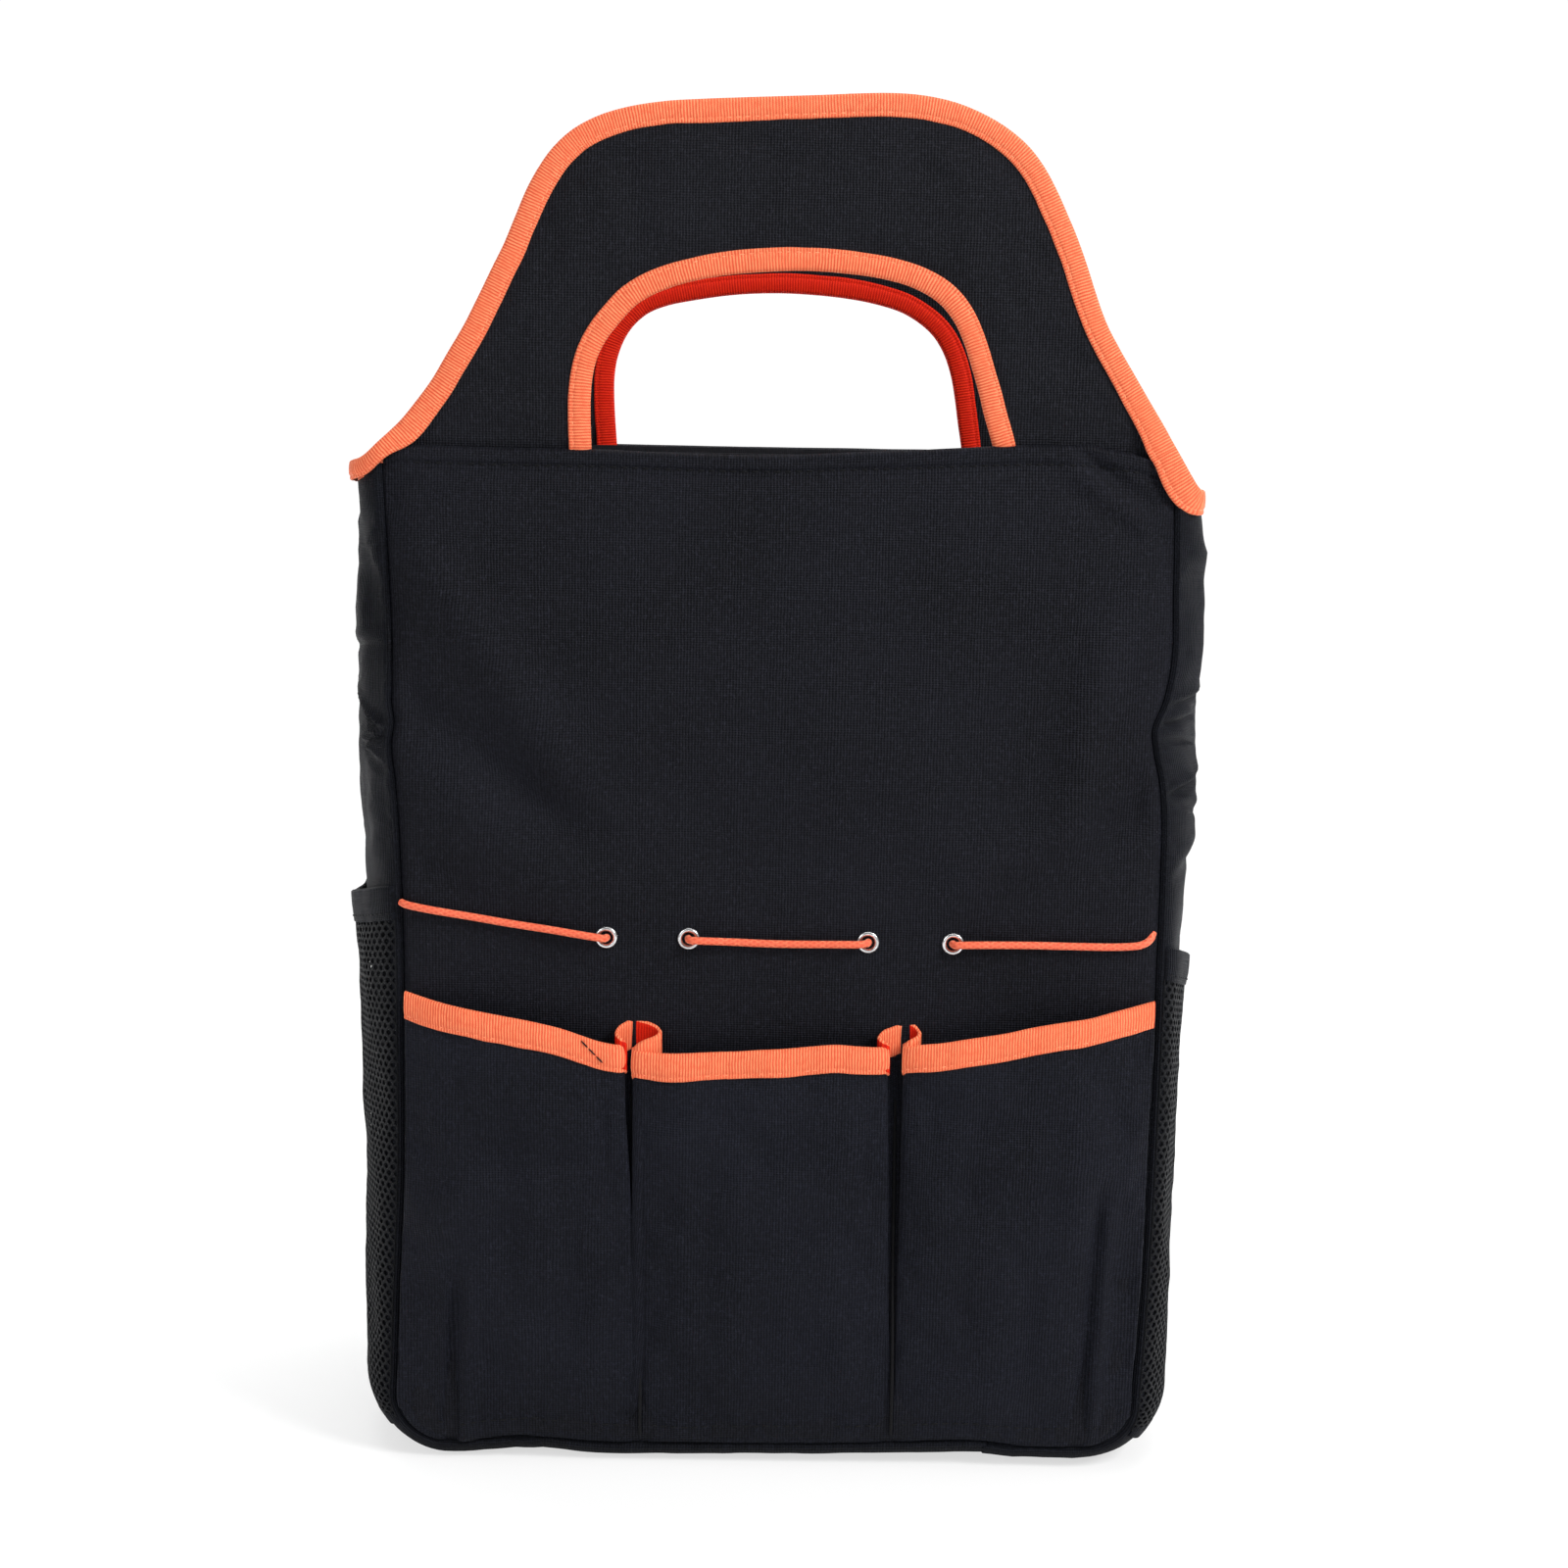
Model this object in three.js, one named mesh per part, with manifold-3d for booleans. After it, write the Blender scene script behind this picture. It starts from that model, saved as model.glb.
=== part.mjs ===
// Garden tool bag: an open-topped fabric tote with two arched handle panels, three pleated front
// pockets, two side mesh pockets and an elastic cord laced through four eyelets.
// Millimetres. Origin: centre of the base, on the ground. +X right seen from the front, -Y front,
// +Z up.
import * as THREE from "three";
import { mergeVertices } from "three/addons/utils/BufferGeometryUtils.js";
import Module from "manifold-3d";

const wasm = await Module();
wasm.setup();

const { lerp, degToRad, smoothstep } = THREE.MathUtils;

// ---------------------------------------------------------------- driving dimensions
const SEAM_HALF = 143; // half width of the front and back panels at their seams
const HALF_DEPTH = 75; // half depth from outer face to outer face
const RIM_Z = 393; // top edge of the front and back panels
const SEAM_Z = 11.6; // bottom seam of the front and back panels
const CORNER_R = 24; // bottom corners of the panels
const CORNER_X = SEAM_HALF - CORNER_R; // centre of a bottom corner
const CORNER_Z = SEAM_Z + CORNER_R;
const CLOTH = 0.8; // one layer of coated oxford cloth
const GAP = 0.3; // clearance between neighbouring layers
const WALL_FOAM = 3.4; // foam in the front and back walls
const HANDLE_FOAM = 1.6; // foam in the handle panels
const GUSSET_T = 1.6; // side and bottom strip, cloth and lining together
const TAPE = 0.9; // thickness of the edging tape
const TAPE_W = 9; // visible width of the edging tape
const EYELET_Z = 211; // eyelet row
const EYELETS_X = [-66, -35, 33, 65];

const FRONT = -1; // signs along y
const BACK = 1;
const LEFT = -1; // signs along x
const RIGHT = 1;

// ---------------------------------------------------------------- materials and meshes
const MATERIALS = {
  oxford: { color: 0x222327, roughness: 0.85, metalness: 0 },
  pocket: { color: 0x24252b, roughness: 0.85, metalness: 0 },
  lining: { color: 0x2a2b30, roughness: 0.9, metalness: 0 },
  foam: { color: 0x55565c, roughness: 0.95, metalness: 0 },
  board: { color: 0x3a3a3c, roughness: 0.7, metalness: 0 },
  tape: { color: 0xe8552c, roughness: 0.75, metalness: 0 },
  mesh: { color: 0x1b1c1f, roughness: 0.9, metalness: 0 },
  cord: { color: 0xd9452a, roughness: 0.8, metalness: 0 },
  metal: { color: 0xb8babd, roughness: 0.3, metalness: 1 },
  seam: { color: 0x1c1c1f, roughness: 0.9, metalness: 0 },
};

const root = new THREE.Group();
root.name = "garden_tool_bag";

function add(name, geometry, material) {
  const mesh = new THREE.Mesh(geometry, new THREE.MeshStandardMaterial(MATERIALS[material]));
  mesh.name = name;
  root.add(mesh);
}

// ---------------------------------------------------------------- solids
function solid(geometry) {
  const bare = geometry.clone();
  bare.deleteAttribute("normal");
  bare.deleteAttribute("uv");
  const merged = mergeVertices(bare, 1e-4);
  return new wasm.Manifold(
    new wasm.Mesh({
      numProp: 3,
      vertProperties: new Float32Array(merged.attributes.position.array),
      triVerts: new Uint32Array(merged.index.array),
    }),
  );
}

function indexedGeometry(coordinates, indices) {
  const geometry = new THREE.BufferGeometry();
  const position = new THREE.BufferAttribute(new Float32Array(coordinates), 3);
  geometry.setAttribute("position", position);
  geometry.setIndex(indices);
  geometry.computeVertexNormals();
  return geometry;
}

function geometryOf(manifold) {
  const mesh = manifold.getMesh();
  return indexedGeometry(mesh.vertProperties, [...mesh.triVerts]);
}

// A geometry from vertices and triangles, turned to face outwards.
function faces(points, triangles) {
  let volume = 0;
  for (const [a, b, c] of triangles) {
    const [p, q, r] = [points[a], points[b], points[c]];
    volume +=
      p[0] * (q[1] * r[2] - q[2] * r[1]) +
      p[1] * (q[2] * r[0] - q[0] * r[2]) +
      p[2] * (q[0] * r[1] - q[1] * r[0]);
  }
  const outward = volume > 0 ? triangles : triangles.map(([a, b, c]) => [a, c, b]);
  return indexedGeometry(points.flat(), outward.flat());
}

// A closed solid between two grids of points of the same size.
function slab(outerGrid, innerGrid) {
  const rows = outerGrid.length;
  const columns = outerGrid[0].length;
  const points = [...outerGrid.flat(), ...innerGrid.flat()];
  const outer = (i, j) => i * columns + j;
  const inner = (i, j) => rows * columns + outer(i, j);
  const triangles = [];
  const quad = (a, b, c, d) => triangles.push([a, b, c], [a, c, d]);
  for (let i = 0; i + 1 < rows; i++)
    for (let j = 0; j + 1 < columns; j++) {
      quad(outer(i, j), outer(i + 1, j), outer(i + 1, j + 1), outer(i, j + 1));
      quad(inner(i, j), inner(i, j + 1), inner(i + 1, j + 1), inner(i + 1, j));
    }
  const lastColumn = columns - 1;
  for (let i = 0; i + 1 < rows; i++) {
    quad(outer(i, 0), inner(i, 0), inner(i + 1, 0), outer(i + 1, 0));
    quad(outer(i, lastColumn), outer(i + 1, lastColumn),
      inner(i + 1, lastColumn), inner(i, lastColumn));
  }
  const lastRow = rows - 1;
  for (let j = 0; j + 1 < columns; j++) {
    quad(outer(0, j), outer(0, j + 1), inner(0, j + 1), inner(0, j));
    quad(outer(lastRow, j), inner(lastRow, j), inner(lastRow, j + 1), outer(lastRow, j + 1));
  }
  return faces(points, triangles);
}

// A closed solid through cross-sections that share one vertex order.
// flat: the section in 2-D, which decides how the caps are triangulated.
function loft(sections, flat) {
  const size = sections[0].length;
  const triangles = [];
  for (let i = 0; i + 1 < sections.length; i++)
    for (let j = 0; j < size; j++) {
      const a = i * size + j;
      const b = i * size + ((j + 1) % size);
      triangles.push([a, b, b + size], [a, b + size, a + size]);
    }
  const contour = flat.map(([x, y]) => new THREE.Vector2(x, y));
  const area = THREE.ShapeUtils.area(contour);
  const last = (sections.length - 1) * size;
  for (const [a, b, c] of THREE.ShapeUtils.triangulateShape(contour, [])) {
    // the walls run forwards along the vertex order, so the first cap runs against it
    const clockwise = THREE.ShapeUtils.area([contour[a], contour[b], contour[c]]) <= 0;
    const first = clockwise === (area > 0) ? [a, b, c] : [a, c, b];
    triangles.push(first, [last + first[0], last + first[2], last + first[1]]);
  }
  return faces(sections.flat(), triangles);
}

// A flat upright plate with an outline of [x, z] points. inner and outer: distances of its faces
// from the middle of the bag, towards the front or the back by sign.
function plate(outline, sign, { inner, outer }, holes = []) {
  const vectors = (points) => points.map(([x, z]) => new THREE.Vector2(x, z));
  const shape = new THREE.Shape(vectors(outline));
  for (const hole of holes) shape.holes.push(new THREE.Path(vectors(hole)));
  const geometry = new THREE.ExtrudeGeometry(shape, {
    depth: outer - inner, bevelEnabled: false, steps: 1,
  });
  geometry.rotateX(Math.PI / 2); // shape y becomes z, the depth runs towards -y
  geometry.translate(0, sign < 0 ? -inner : outer, 0);
  return geometry;
}

// A box between [low, high] limits on each axis.
function box(...limits) {
  const geometry = new THREE.BoxGeometry(...limits.map(([low, high]) => high - low));
  geometry.translate(...limits.map(([low, high]) => (low + high) / 2));
  return geometry;
}

// Points of a circle about (x, z).
const circle = (x, z, radius, count) => [...Array(count)].map((_, i) => {
  const angle = (2 * Math.PI * i) / count;
  return [x + radius * Math.cos(angle), z + radius * Math.sin(angle)];
});

// Unit normals of an open polyline in the XZ plane, on the left of its direction of travel.
function normals(path) {
  return path.map((_, i) => {
    const before = path[Math.max(0, i - 1)];
    const after = path[Math.min(path.length - 1, i + 1)];
    const dx = after[0] - before[0];
    const dz = after[1] - before[1];
    const length = Math.hypot(dx, dz);
    return [-dz / length, dx / length];
  });
}

function offset(path, distance) {
  const normal = normals(path);
  return path.map(([x, z], i) => [x + distance * normal[i][0], z + distance * normal[i][1]]);
}

const smooth = (t) => smoothstep(t, 0, 1);

// Section of a folded tape: [across the edge, through the sheet], with the edge point at 0, 0.
function tapeSection(width, sheet) {
  const near = -GAP - TAPE;
  const far = sheet + GAP + TAPE;
  return [
    [-width, near], [GAP + TAPE, near], [GAP + TAPE, far], [-width, far],
    [-width, sheet + GAP], [GAP, sheet + GAP], [GAP, -GAP], [-width, -GAP],
  ];
}

// A folded tape over an edge. Each station: edge point, unit direction out across the edge, unit
// direction through the sheet, and the sheet's thickness.
function edging(stations, width) {
  const CAP_SHEET = 2; // sheet thickness used only to triangulate the caps
  const sections = stations.map(({ point, across, through, sheet }) =>
    tapeSection(width, sheet).map(([u, v]) =>
      [0, 1, 2].map((k) => point[k] + u * across[k] + v * through[k])));
  return loft(sections, tapeSection(width, CAP_SHEET));
}

// ---------------------------------------------------------------- front and back walls
const PANEL_INSET = 0.3; // of each layer's outline from the seam line
const LINING_INSET = 0.6;
const FOAM_INSET = 0.9;
const FOAM_DROP = 2; // foam's top edge below the rim

const EYELET_BORE = 2.5; // radii
const EYELET_BARREL = EYELET_BORE + 0.5;
const EYELET_HOLE = EYELET_BARREL + GAP;

// Inner and outer faces of cloth, foam and lining, from the outer face of the bag inwards.
function layerStack(foam) {
  const layer = (outer, thickness) => ({ inner: outer - thickness, outer });
  return {
    panel: layer(HALF_DEPTH, CLOTH),
    foam: layer(HALF_DEPTH - CLOTH - GAP, foam),
    lining: layer(HALF_DEPTH - CLOTH - 2 * GAP - foam, CLOTH),
  };
}
const WALL = layerStack(WALL_FOAM);

// The seam line of a panel: down the left side, round the corners and up the right side.
function panelOutline(inset, top) {
  const radius = CORNER_R - inset;
  const left = [[inset - SEAM_HALF, top]];
  for (let i = 0; i <= 6; i++) {
    const angle = Math.PI + (i / 6) * (Math.PI / 2);
    left.push([radius * Math.cos(angle) - CORNER_X, CORNER_Z + radius * Math.sin(angle)]);
  }
  return [...left, ...[...left].reverse().map(([x, z]) => [-x, z])];
}

// The front foam is cut away behind each pair of eyelets, where the cord runs behind the cloth.
function slottedFoam(foam) {
  const MARGIN = 6; // round the eyelet centres
  const OVERCUT = 1;
  const slot = (x0, x1) => solid(box(
    [x0 - MARGIN, x1 + MARGIN],
    [-WALL.foam.outer - OVERCUT, -WALL.foam.inner + OVERCUT],
    [EYELET_Z - MARGIN, EYELET_Z + MARGIN],
  ));
  const [x1, x2, x3, x4] = EYELETS_X;
  return geometryOf(solid(foam).subtract(slot(x1, x2)).subtract(slot(x3, x4)));
}

function wall(side, sign) {
  const isFront = sign === FRONT;
  const holes = isFront ? EYELETS_X.map((x) => circle(x, EYELET_Z, EYELET_HOLE, 16)) : [];
  const foam = plate(panelOutline(FOAM_INSET, RIM_Z - FOAM_DROP), sign, WALL.foam);
  add(`${side}_panel`, plate(panelOutline(PANEL_INSET, RIM_Z), sign, WALL.panel, holes), "oxford");
  add(`${side}_foam`, isFront ? slottedFoam(foam) : foam, "foam");
  add(`${side}_lining`, plate(panelOutline(LINING_INSET, RIM_Z), sign, WALL.lining), "lining");
}
wall("front", FRONT);
wall("back", BACK);

// ---------------------------------------------------------------- gussets and bottom
const GUSSET_DROP = 2; // ends of the gusset's top edge below the rim
const GUSSET_DIP = 20; // further sag of that edge at mid depth
const JOIN_X = 86; // where the side gussets meet the bottom panel
const JOIN_GAP = 0.15; // half the clearance at that joint

// How far the strip's outer surface stands outside the seam line: y, at the side, under the base.
const STRIP_PROFILE = [
  [-74.9, 1.9, 1.9], [-71, 6.0, 8.2], [-62, 11.4, 11.6], [-48, 15.6, 11.6], [-28, 18.0, 11.6],
  [0, 18.6, 11.6],
  [28, 18.0, 11.6], [48, 15.6, 11.6], [62, 11.4, 11.6], [71, 6.0, 8.2], [74.9, 1.9, 1.9],
];
const ACROSS = STRIP_PROFILE.map(([y]) => y);
const SIDE_OUT = STRIP_PROFILE.map(([, side]) => side);
const BASE_OUT = STRIP_PROFILE.map(([, , base]) => base);

const gussetTop = (y) => RIM_Z - GUSSET_DROP - GUSSET_DIP * (1 - (y / HALF_DEPTH) ** 2);

// How far the strip stands out at depth station j, between the side and base profiles.
const outAt = (j, baseShare) => lerp(SIDE_OUT[j], BASE_OUT[j], baseShare);

// A station on the right-hand bottom corner; the angle runs from the side down to the base.
function cornerStation(angle) {
  const normal = [Math.cos(angle), -Math.sin(angle)];
  return {
    point: [CORNER_X + CORNER_R * normal[0], CORNER_Z + CORNER_R * normal[1]],
    normal,
    baseShare: smooth(angle / (Math.PI / 2)),
  };
}

// Stations of the right-hand strip, from the top edge to the joint under the base. Those on the
// straight side hold a share of the height from the corner to the top edge instead of a point.
const STRIP_STATIONS = [
  ...[1, 0.82, 0.6, 0.35, 0.12].map((heightShare) =>
    ({ heightShare, normal: [1, 0], baseShare: 0 })),
  ...[0, 1, 2, 3, 4, 5, 6].map((i) => cornerStation((i / 6) * (Math.PI / 2))),
  { point: [JOIN_X + JOIN_GAP, SEAM_Z], normal: [0, -1], baseShare: 1 },
];

function sideGusset(mirror) {
  const grid = (cut) => STRIP_STATIONS.map((station) => ACROSS.map((y, j) => {
    const { heightShare, normal, baseShare } = station;
    const out = outAt(j, baseShare) - cut;
    const [x, z] = station.point ?? [SEAM_HALF, lerp(CORNER_Z, gussetTop(y), heightShare)];
    return [mirror * (x + normal[0] * out), y, z + normal[1] * out];
  }));
  return slab(grid(0), grid(GUSSET_T));
}
add("side_gusset_left", sideGusset(LEFT), "oxford");
add("side_gusset_right", sideGusset(RIGHT), "oxford");

function bottomPanel() {
  const grid = (cut) => [LEFT, RIGHT].map((side) => ACROSS.map((y, j) =>
    [side * (JOIN_X - JOIN_GAP), y, SEAM_Z - BASE_OUT[j] + cut]));
  return slab(grid(0), grid(GUSSET_T));
}
add("bottom_panel", bottomPanel(), "oxford");

// A flat sheet lying centred in the base.
const baseSheet = (halfWidth, halfDepth, z, thickness) =>
  box([-halfWidth, halfWidth], [-halfDepth, halfDepth], [z, z + thickness]);
const BOARD_T = 2.5; // stiff board in the base
const BOARD_Z = GUSSET_T + GAP;
add("base_board", baseSheet(112, 56, BOARD_Z, BOARD_T), "board");
add("base_lining", baseSheet(113, 57, BOARD_Z + BOARD_T + GAP, CLOTH), "lining");

// Tape over the seam allowances inside the bag, one round each panel.
function seamTape(sign) {
  const WIDTH = 8;
  const THICKNESS = 1.5;
  const top = RIM_Z - 4;
  const innerLine = panelOutline(LINING_INSET + WIDTH, top);
  const y0 = sign * (WALL.lining.inner - GAP);
  const y1 = y0 - sign * THICKNESS;
  const sections = panelOutline(LINING_INSET, top).map(([x, z], i) => {
    const [innerX, innerZ] = innerLine[i];
    return [[x, y0, z], [innerX, y0, innerZ], [innerX, y1, innerZ], [x, y1, z]];
  });
  return loft(sections, [[0, 0], [WIDTH, 0], [WIDTH, THICKNESS], [0, THICKNESS]]);
}
add("front_seam_binding", seamTape(FRONT), "seam");
add("back_seam_binding", seamTape(BACK), "seam");

// ---------------------------------------------------------------- edging on the gussets' tops
// The strip is straight between its stations, so values along y are interpolated linearly.
function interpolateAcross(values, y) {
  const next = ACROSS.findIndex((station, j) => j > 0 && y <= station);
  const share = (y - ACROSS[next - 1]) / (ACROSS[next] - ACROSS[next - 1]);
  return lerp(values[next - 1], values[next], share);
}

function rimEdging(mirror) {
  const END_Y = 70.4;
  const WIDTH = 8;
  const tops = ACROSS.map(gussetTop);
  return edging([-END_Y, ...ACROSS.slice(2, -2), END_Y].map((y) => ({
    point: [
      mirror * (SEAM_HALF + interpolateAcross(SIDE_OUT, y)), y, interpolateAcross(tops, y),
    ],
    across: [0, 0, 1],
    through: [-mirror, 0, 0],
    sheet: GUSSET_T,
  })), WIDTH);
}
add("rim_binding_left", rimEdging(LEFT), "tape");
add("rim_binding_right", rimEdging(RIGHT), "tape");

// ---------------------------------------------------------------- handles
// Outer edge of the handle: height, half width.
const HANDLE_OUTER = [
  [396, 145.2], [404, 139.4], [414, 132.6], [424, 126.2], [434, 120.0], [446, 113.4],
  [460, 107.2], [472, 102.2], [482, 97.6], [490, 93.4], [497, 89.2], [503, 84.2],
  [508, 78.2], [512, 70.4], [515.4, 61], [517.6, 48], [519.2, 33], [520, 15],
];
// Clear hand hole: height, half width.
const HANDLE_INNER = [
  [396, 75.0], [406, 73.2], [416, 70.8], [426, 67.6], [434, 63.6], [441, 58.4],
  [447, 51.8], [451.5, 44], [454.5, 34], [456.3, 22], [457, 9],
];
const HANDLE_FOOT_Z = RIM_Z + 3; // leaves a free strip of cloth at the rim for the handle to fold on
const HANDLE_TAPE_W = TAPE_W - 1.2;
const EDGE_IN = GAP + TAPE; // the cloth ends this far inside the edging's outer face
const HANDLE = layerStack(HANDLE_FOAM);

// Edge of the handle's cloth: an arch from the left foot over the top to the right foot.
function handleEdge(table, distance) {
  const left = table.map(([z, half]) => [-half, z]);
  const right = [...table].reverse().map(([z, half]) => [half, z]);
  const path = offset([...left, ...right], distance);
  path[0][1] = HANDLE_FOOT_Z;
  path.at(-1)[1] = HANDLE_FOOT_Z;
  return path;
}

// Tape along an edge of the handle. turn: 1 on the outer edge, -1 round the hand hole.
function handleEdging(path, turn, sign) {
  const normal = normals(path);
  const isFoot = (i) => i === 0 || i === path.length - 1;
  return edging(path.map(([x, z], i) => ({
    point: [x, sign * HALF_DEPTH, z],
    across: isFoot(i)
      ? [Math.sign(x) * turn, 0, 0]
      : [turn * normal[i][0], 0, turn * normal[i][1]],
    through: [0, -sign, 0],
    sheet: HANDLE.panel.outer - HANDLE.lining.inner,
  })), HANDLE_TAPE_W);
}

function handle(side, sign) {
  const outerEdge = handleEdge(HANDLE_OUTER, -EDGE_IN);
  const holeEdge = handleEdge(HANDLE_INNER, EDGE_IN);
  const outline = [...outerEdge, ...[...holeEdge].reverse()];
  add(`${side}_handle_panel`, plate(outline, sign, HANDLE.panel), "oxford");
  add(`${side}_handle_foam`, plate(outline, sign, HANDLE.foam), "foam");
  add(`${side}_handle_lining`, plate(outline, sign, HANDLE.lining), "oxford");
  add(`${side}_handle_edge_binding`, handleEdging(outerEdge, 1, sign), "tape");
  add(`${side}_handle_hole_binding`, handleEdging(holeEdge, -1, sign), "tape");
}
handle("front", FRONT);
handle("back", BACK);

// ---------------------------------------------------------------- eyelets and washers
// Flange in front of the cloth and barrel through it: radius, y from the back of the flange.
const EYELET_PROFILE = [
  [EYELET_BORE, -0.9], [3.4, -1.1], [4.25, -0.6], [4.25, 0],
  [EYELET_BARREL, 0], [EYELET_BARREL, 1.9], [EYELET_BORE, 1.9],
];
// Washer behind the cloth: radius, y from its front face.
const WASHER_PROFILE = [[EYELET_HOLE, 0], [5, 0], [5, 0.5], [EYELET_HOLE, 0.5]];

// A profile turned about the axis along y through (x, EYELET_Z).
function eyeletRing(profile, x, y) {
  const SEGMENTS = 20;
  const size = profile.length;
  const points = [];
  const triangles = [];
  for (let i = 0; i < SEGMENTS; i++) {
    const angle = (2 * Math.PI * i) / SEGMENTS;
    for (const [radius, height] of profile)
      points.push([x + radius * Math.cos(angle), y + height, EYELET_Z + radius * Math.sin(angle)]);
    const here = i * size;
    const next = ((i + 1) % SEGMENTS) * size;
    for (let j = 0; j < size; j++) {
      const k = (j + 1) % size;
      triangles.push([here + j, here + k, next + k], [here + j, next + k, next + j]);
    }
  }
  return faces(points, triangles);
}

EYELETS_X.forEach((x, i) => {
  const flangeY = -HALF_DEPTH - GAP;
  const washerY = -WALL.panel.inner + GAP;
  add(`eyelet_${i + 1}`, eyeletRing(EYELET_PROFILE, x, flangeY), "metal");
  add(`eyelet_washer_${i + 1}`, eyeletRing(WASHER_PROFILE, x, washerY), "metal");
});

// ---------------------------------------------------------------- elastic cord
const CORD_R = 1.5;
const INNER_CORD_R = 1.1; // behind the cloth
const CORD_Y = -HALF_DEPTH - CORD_R - 1.6; // centre of the cord in front of the flanges
const INNER_CORD_Y = -WALL.foam.outer + 1.9; // cord behind the cloth, in the foam's slot

// A round cord through points.
function cord(points, radius) {
  const SIDES = 8;
  const STEPS_PER_SPAN = 4;
  const vectors = points.map((point) => new THREE.Vector3(...point));
  const section = circle(0, 0, radius, SIDES).map(([x, y]) => new THREE.Vector2(x, y));
  return geometryOf(solid(new THREE.ExtrudeGeometry(new THREE.Shape(section), {
    steps: STEPS_PER_SPAN * (points.length - 1),
    extrudePath: new THREE.CatmullRomCurve3(vectors, false, "centripetal"),
    bevelEnabled: false,
  })));
}

// Ends of the cord at an eyelet, running into it. side: where the cord comes from along x.
const frontEnd = (x, side, z) => [
  [x + side * 3, CORD_Y, z], [x + side * 0.4, -76.6, EYELET_Z], [x, -74.9, EYELET_Z],
];
const innerEnd = (x, side) => [
  [x + side * 4, INNER_CORD_Y, EYELET_Z], [x + side * 0.6, -72.9, EYELET_Z], [x, -74.3, EYELET_Z],
];

const [X1, X2, X3, X4] = EYELETS_X;
const CORD_RUNS = {
  left: [
    [-140.5, -77.2, 222], [-118, -77.2, 218.5], [-95, -77.3, 214.6], [-74, CORD_Y, 211.8],
    ...frontEnd(X1, LEFT, 211.2),
  ],
  center: [
    ...frontEnd(X2, RIGHT, 210.6).reverse(),
    [-12, -77.3, 208.8], [10, -77.3, 208.9],
    ...frontEnd(X3, LEFT, 210.6),
  ],
  right: [
    ...frontEnd(X4, RIGHT, 210.8).reverse(),
    [90, -77.3, 209.6], [114, -77.2, 209.4], [132, -77.2, 210], [139.5, -77.2, 213.5],
  ],
};
for (const [name, points] of Object.entries(CORD_RUNS))
  add(`cord_run_${name}`, cord(points, CORD_R), "cord");
for (const [name, x0, x1] of [["left", X1, X2], ["right", X3, X4]]) {
  const points = [...innerEnd(x0, RIGHT).reverse(), ...innerEnd(x1, LEFT)];
  add(`cord_inner_${name}`, cord(points, INNER_CORD_R), "cord");
}

// ---------------------------------------------------------------- front pockets
const DIVIDER_L = -53; // stitch lines between the pockets
const DIVIDER_R = 45;
const DIVIDER_MID = (DIVIDER_L + DIVIDER_R) / 2;
const DIVIDER_HALF = (DIVIDER_R - DIVIDER_L) / 2;
const POCKET_BOTTOM = 14;
const POCKET_STAND = 8.3; // how far the pocket mouths stand off the front panel
const EDGE_STAND = 1.7; // the same at the outer side edges
const POCKET_T = 1.2;
const MOUTH_Z = 171; // mouth height at the stitch lines
const STAND_POWER = 0.7; // how the stand-off grows with height
const POCKET_BACK_Y = -HALF_DEPTH - GAP;

// Mouth height of the pocket row at x.
function mouthAt(x) {
  if (x < DIVIDER_L) return MOUTH_Z + (DIVIDER_L - x) * 0.19;
  if (x > DIVIDER_R) return MOUTH_Z + (x - DIVIDER_R) * 0.18;
  return MOUTH_Z + 2.6 * (1 - ((x - DIVIDER_MID) / DIVIDER_HALF) ** 2);
}

const riseAt = (x, z) =>
  Math.max(0, (z - POCKET_BOTTOM) / (mouthAt(x) - POCKET_BOTTOM)) ** STAND_POWER;

// The pocket cloth's inner face.
function pocketY(x, z) {
  const fullness = smooth((SEAM_HALF - 1 - Math.abs(x)) / 30);
  return POCKET_BACK_Y - 0.2 - lerp(EDGE_STAND, POCKET_STAND, fullness) * riseAt(x, z);
}

// Lowest point of a pocket at x, following the rounded corner of the panel.
function floorAt(x) {
  const beyond = Math.abs(x) - CORNER_X;
  if (beyond <= 0) return POCKET_BOTTOM;
  return CORNER_Z - Math.sqrt((CORNER_Z - POCKET_BOTTOM) ** 2 - beyond ** 2);
}

const clothTopAt = (x) => mouthAt(x) - TAPE - GAP; // the cloth ends inside the edging

// x of each pocket's stations at the mouth and at the bottom; the slits narrow downwards.
const POCKETS = {
  left: {
    top: [-140.4, -136, -128, -119, -110, -96, -76, -55.6],
    bottom: [-140.4, -136, -128, -119, -110, -96, -75, -53.7],
  },
  center: {
    top: [-50.4, -36, -20, -4, 12, 28, 42.4],
    bottom: [-52.3, -36, -20, -4, 12, 28, 44.3],
  },
  right: {
    top: [47.6, 70, 96, 110, 119, 128, 136, 140.4],
    bottom: [45.7, 69, 96, 110, 119, 128, 136, 140.4],
  },
};
const POCKET_HEIGHTS = [0, 0.12, 0.3, 0.55, 0.78, 1]; // shares of the cloth's height

function pocketPanel({ top, bottom }) {
  const grid = (out) => top.map((topX, i) => POCKET_HEIGHTS.map((share) => {
    const x = lerp(bottom[i], topX, share);
    const z = lerp(floorAt(bottom[i]), clothTopAt(topX), share);
    return [x, pocketY(x, z) - out, z];
  }));
  return slab(grid(POCKET_T), grid(0));
}

function pocketEdging({ top }) {
  const SLOPE_DZ = 8; // height over which the cloth's slope is taken
  return edging(top.map((x) => {
    const z = clothTopAt(x);
    const y = pocketY(x, z);
    const dy = y - pocketY(x, z - SLOPE_DZ);
    const length = Math.hypot(dy, SLOPE_DZ);
    return {
      point: [x, y - POCKET_T, z],
      across: [0, dy / length, SLOPE_DZ / length],
      through: [0, 1, 0],
      sheet: POCKET_T,
    };
  }), TAPE_W);
}

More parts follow.
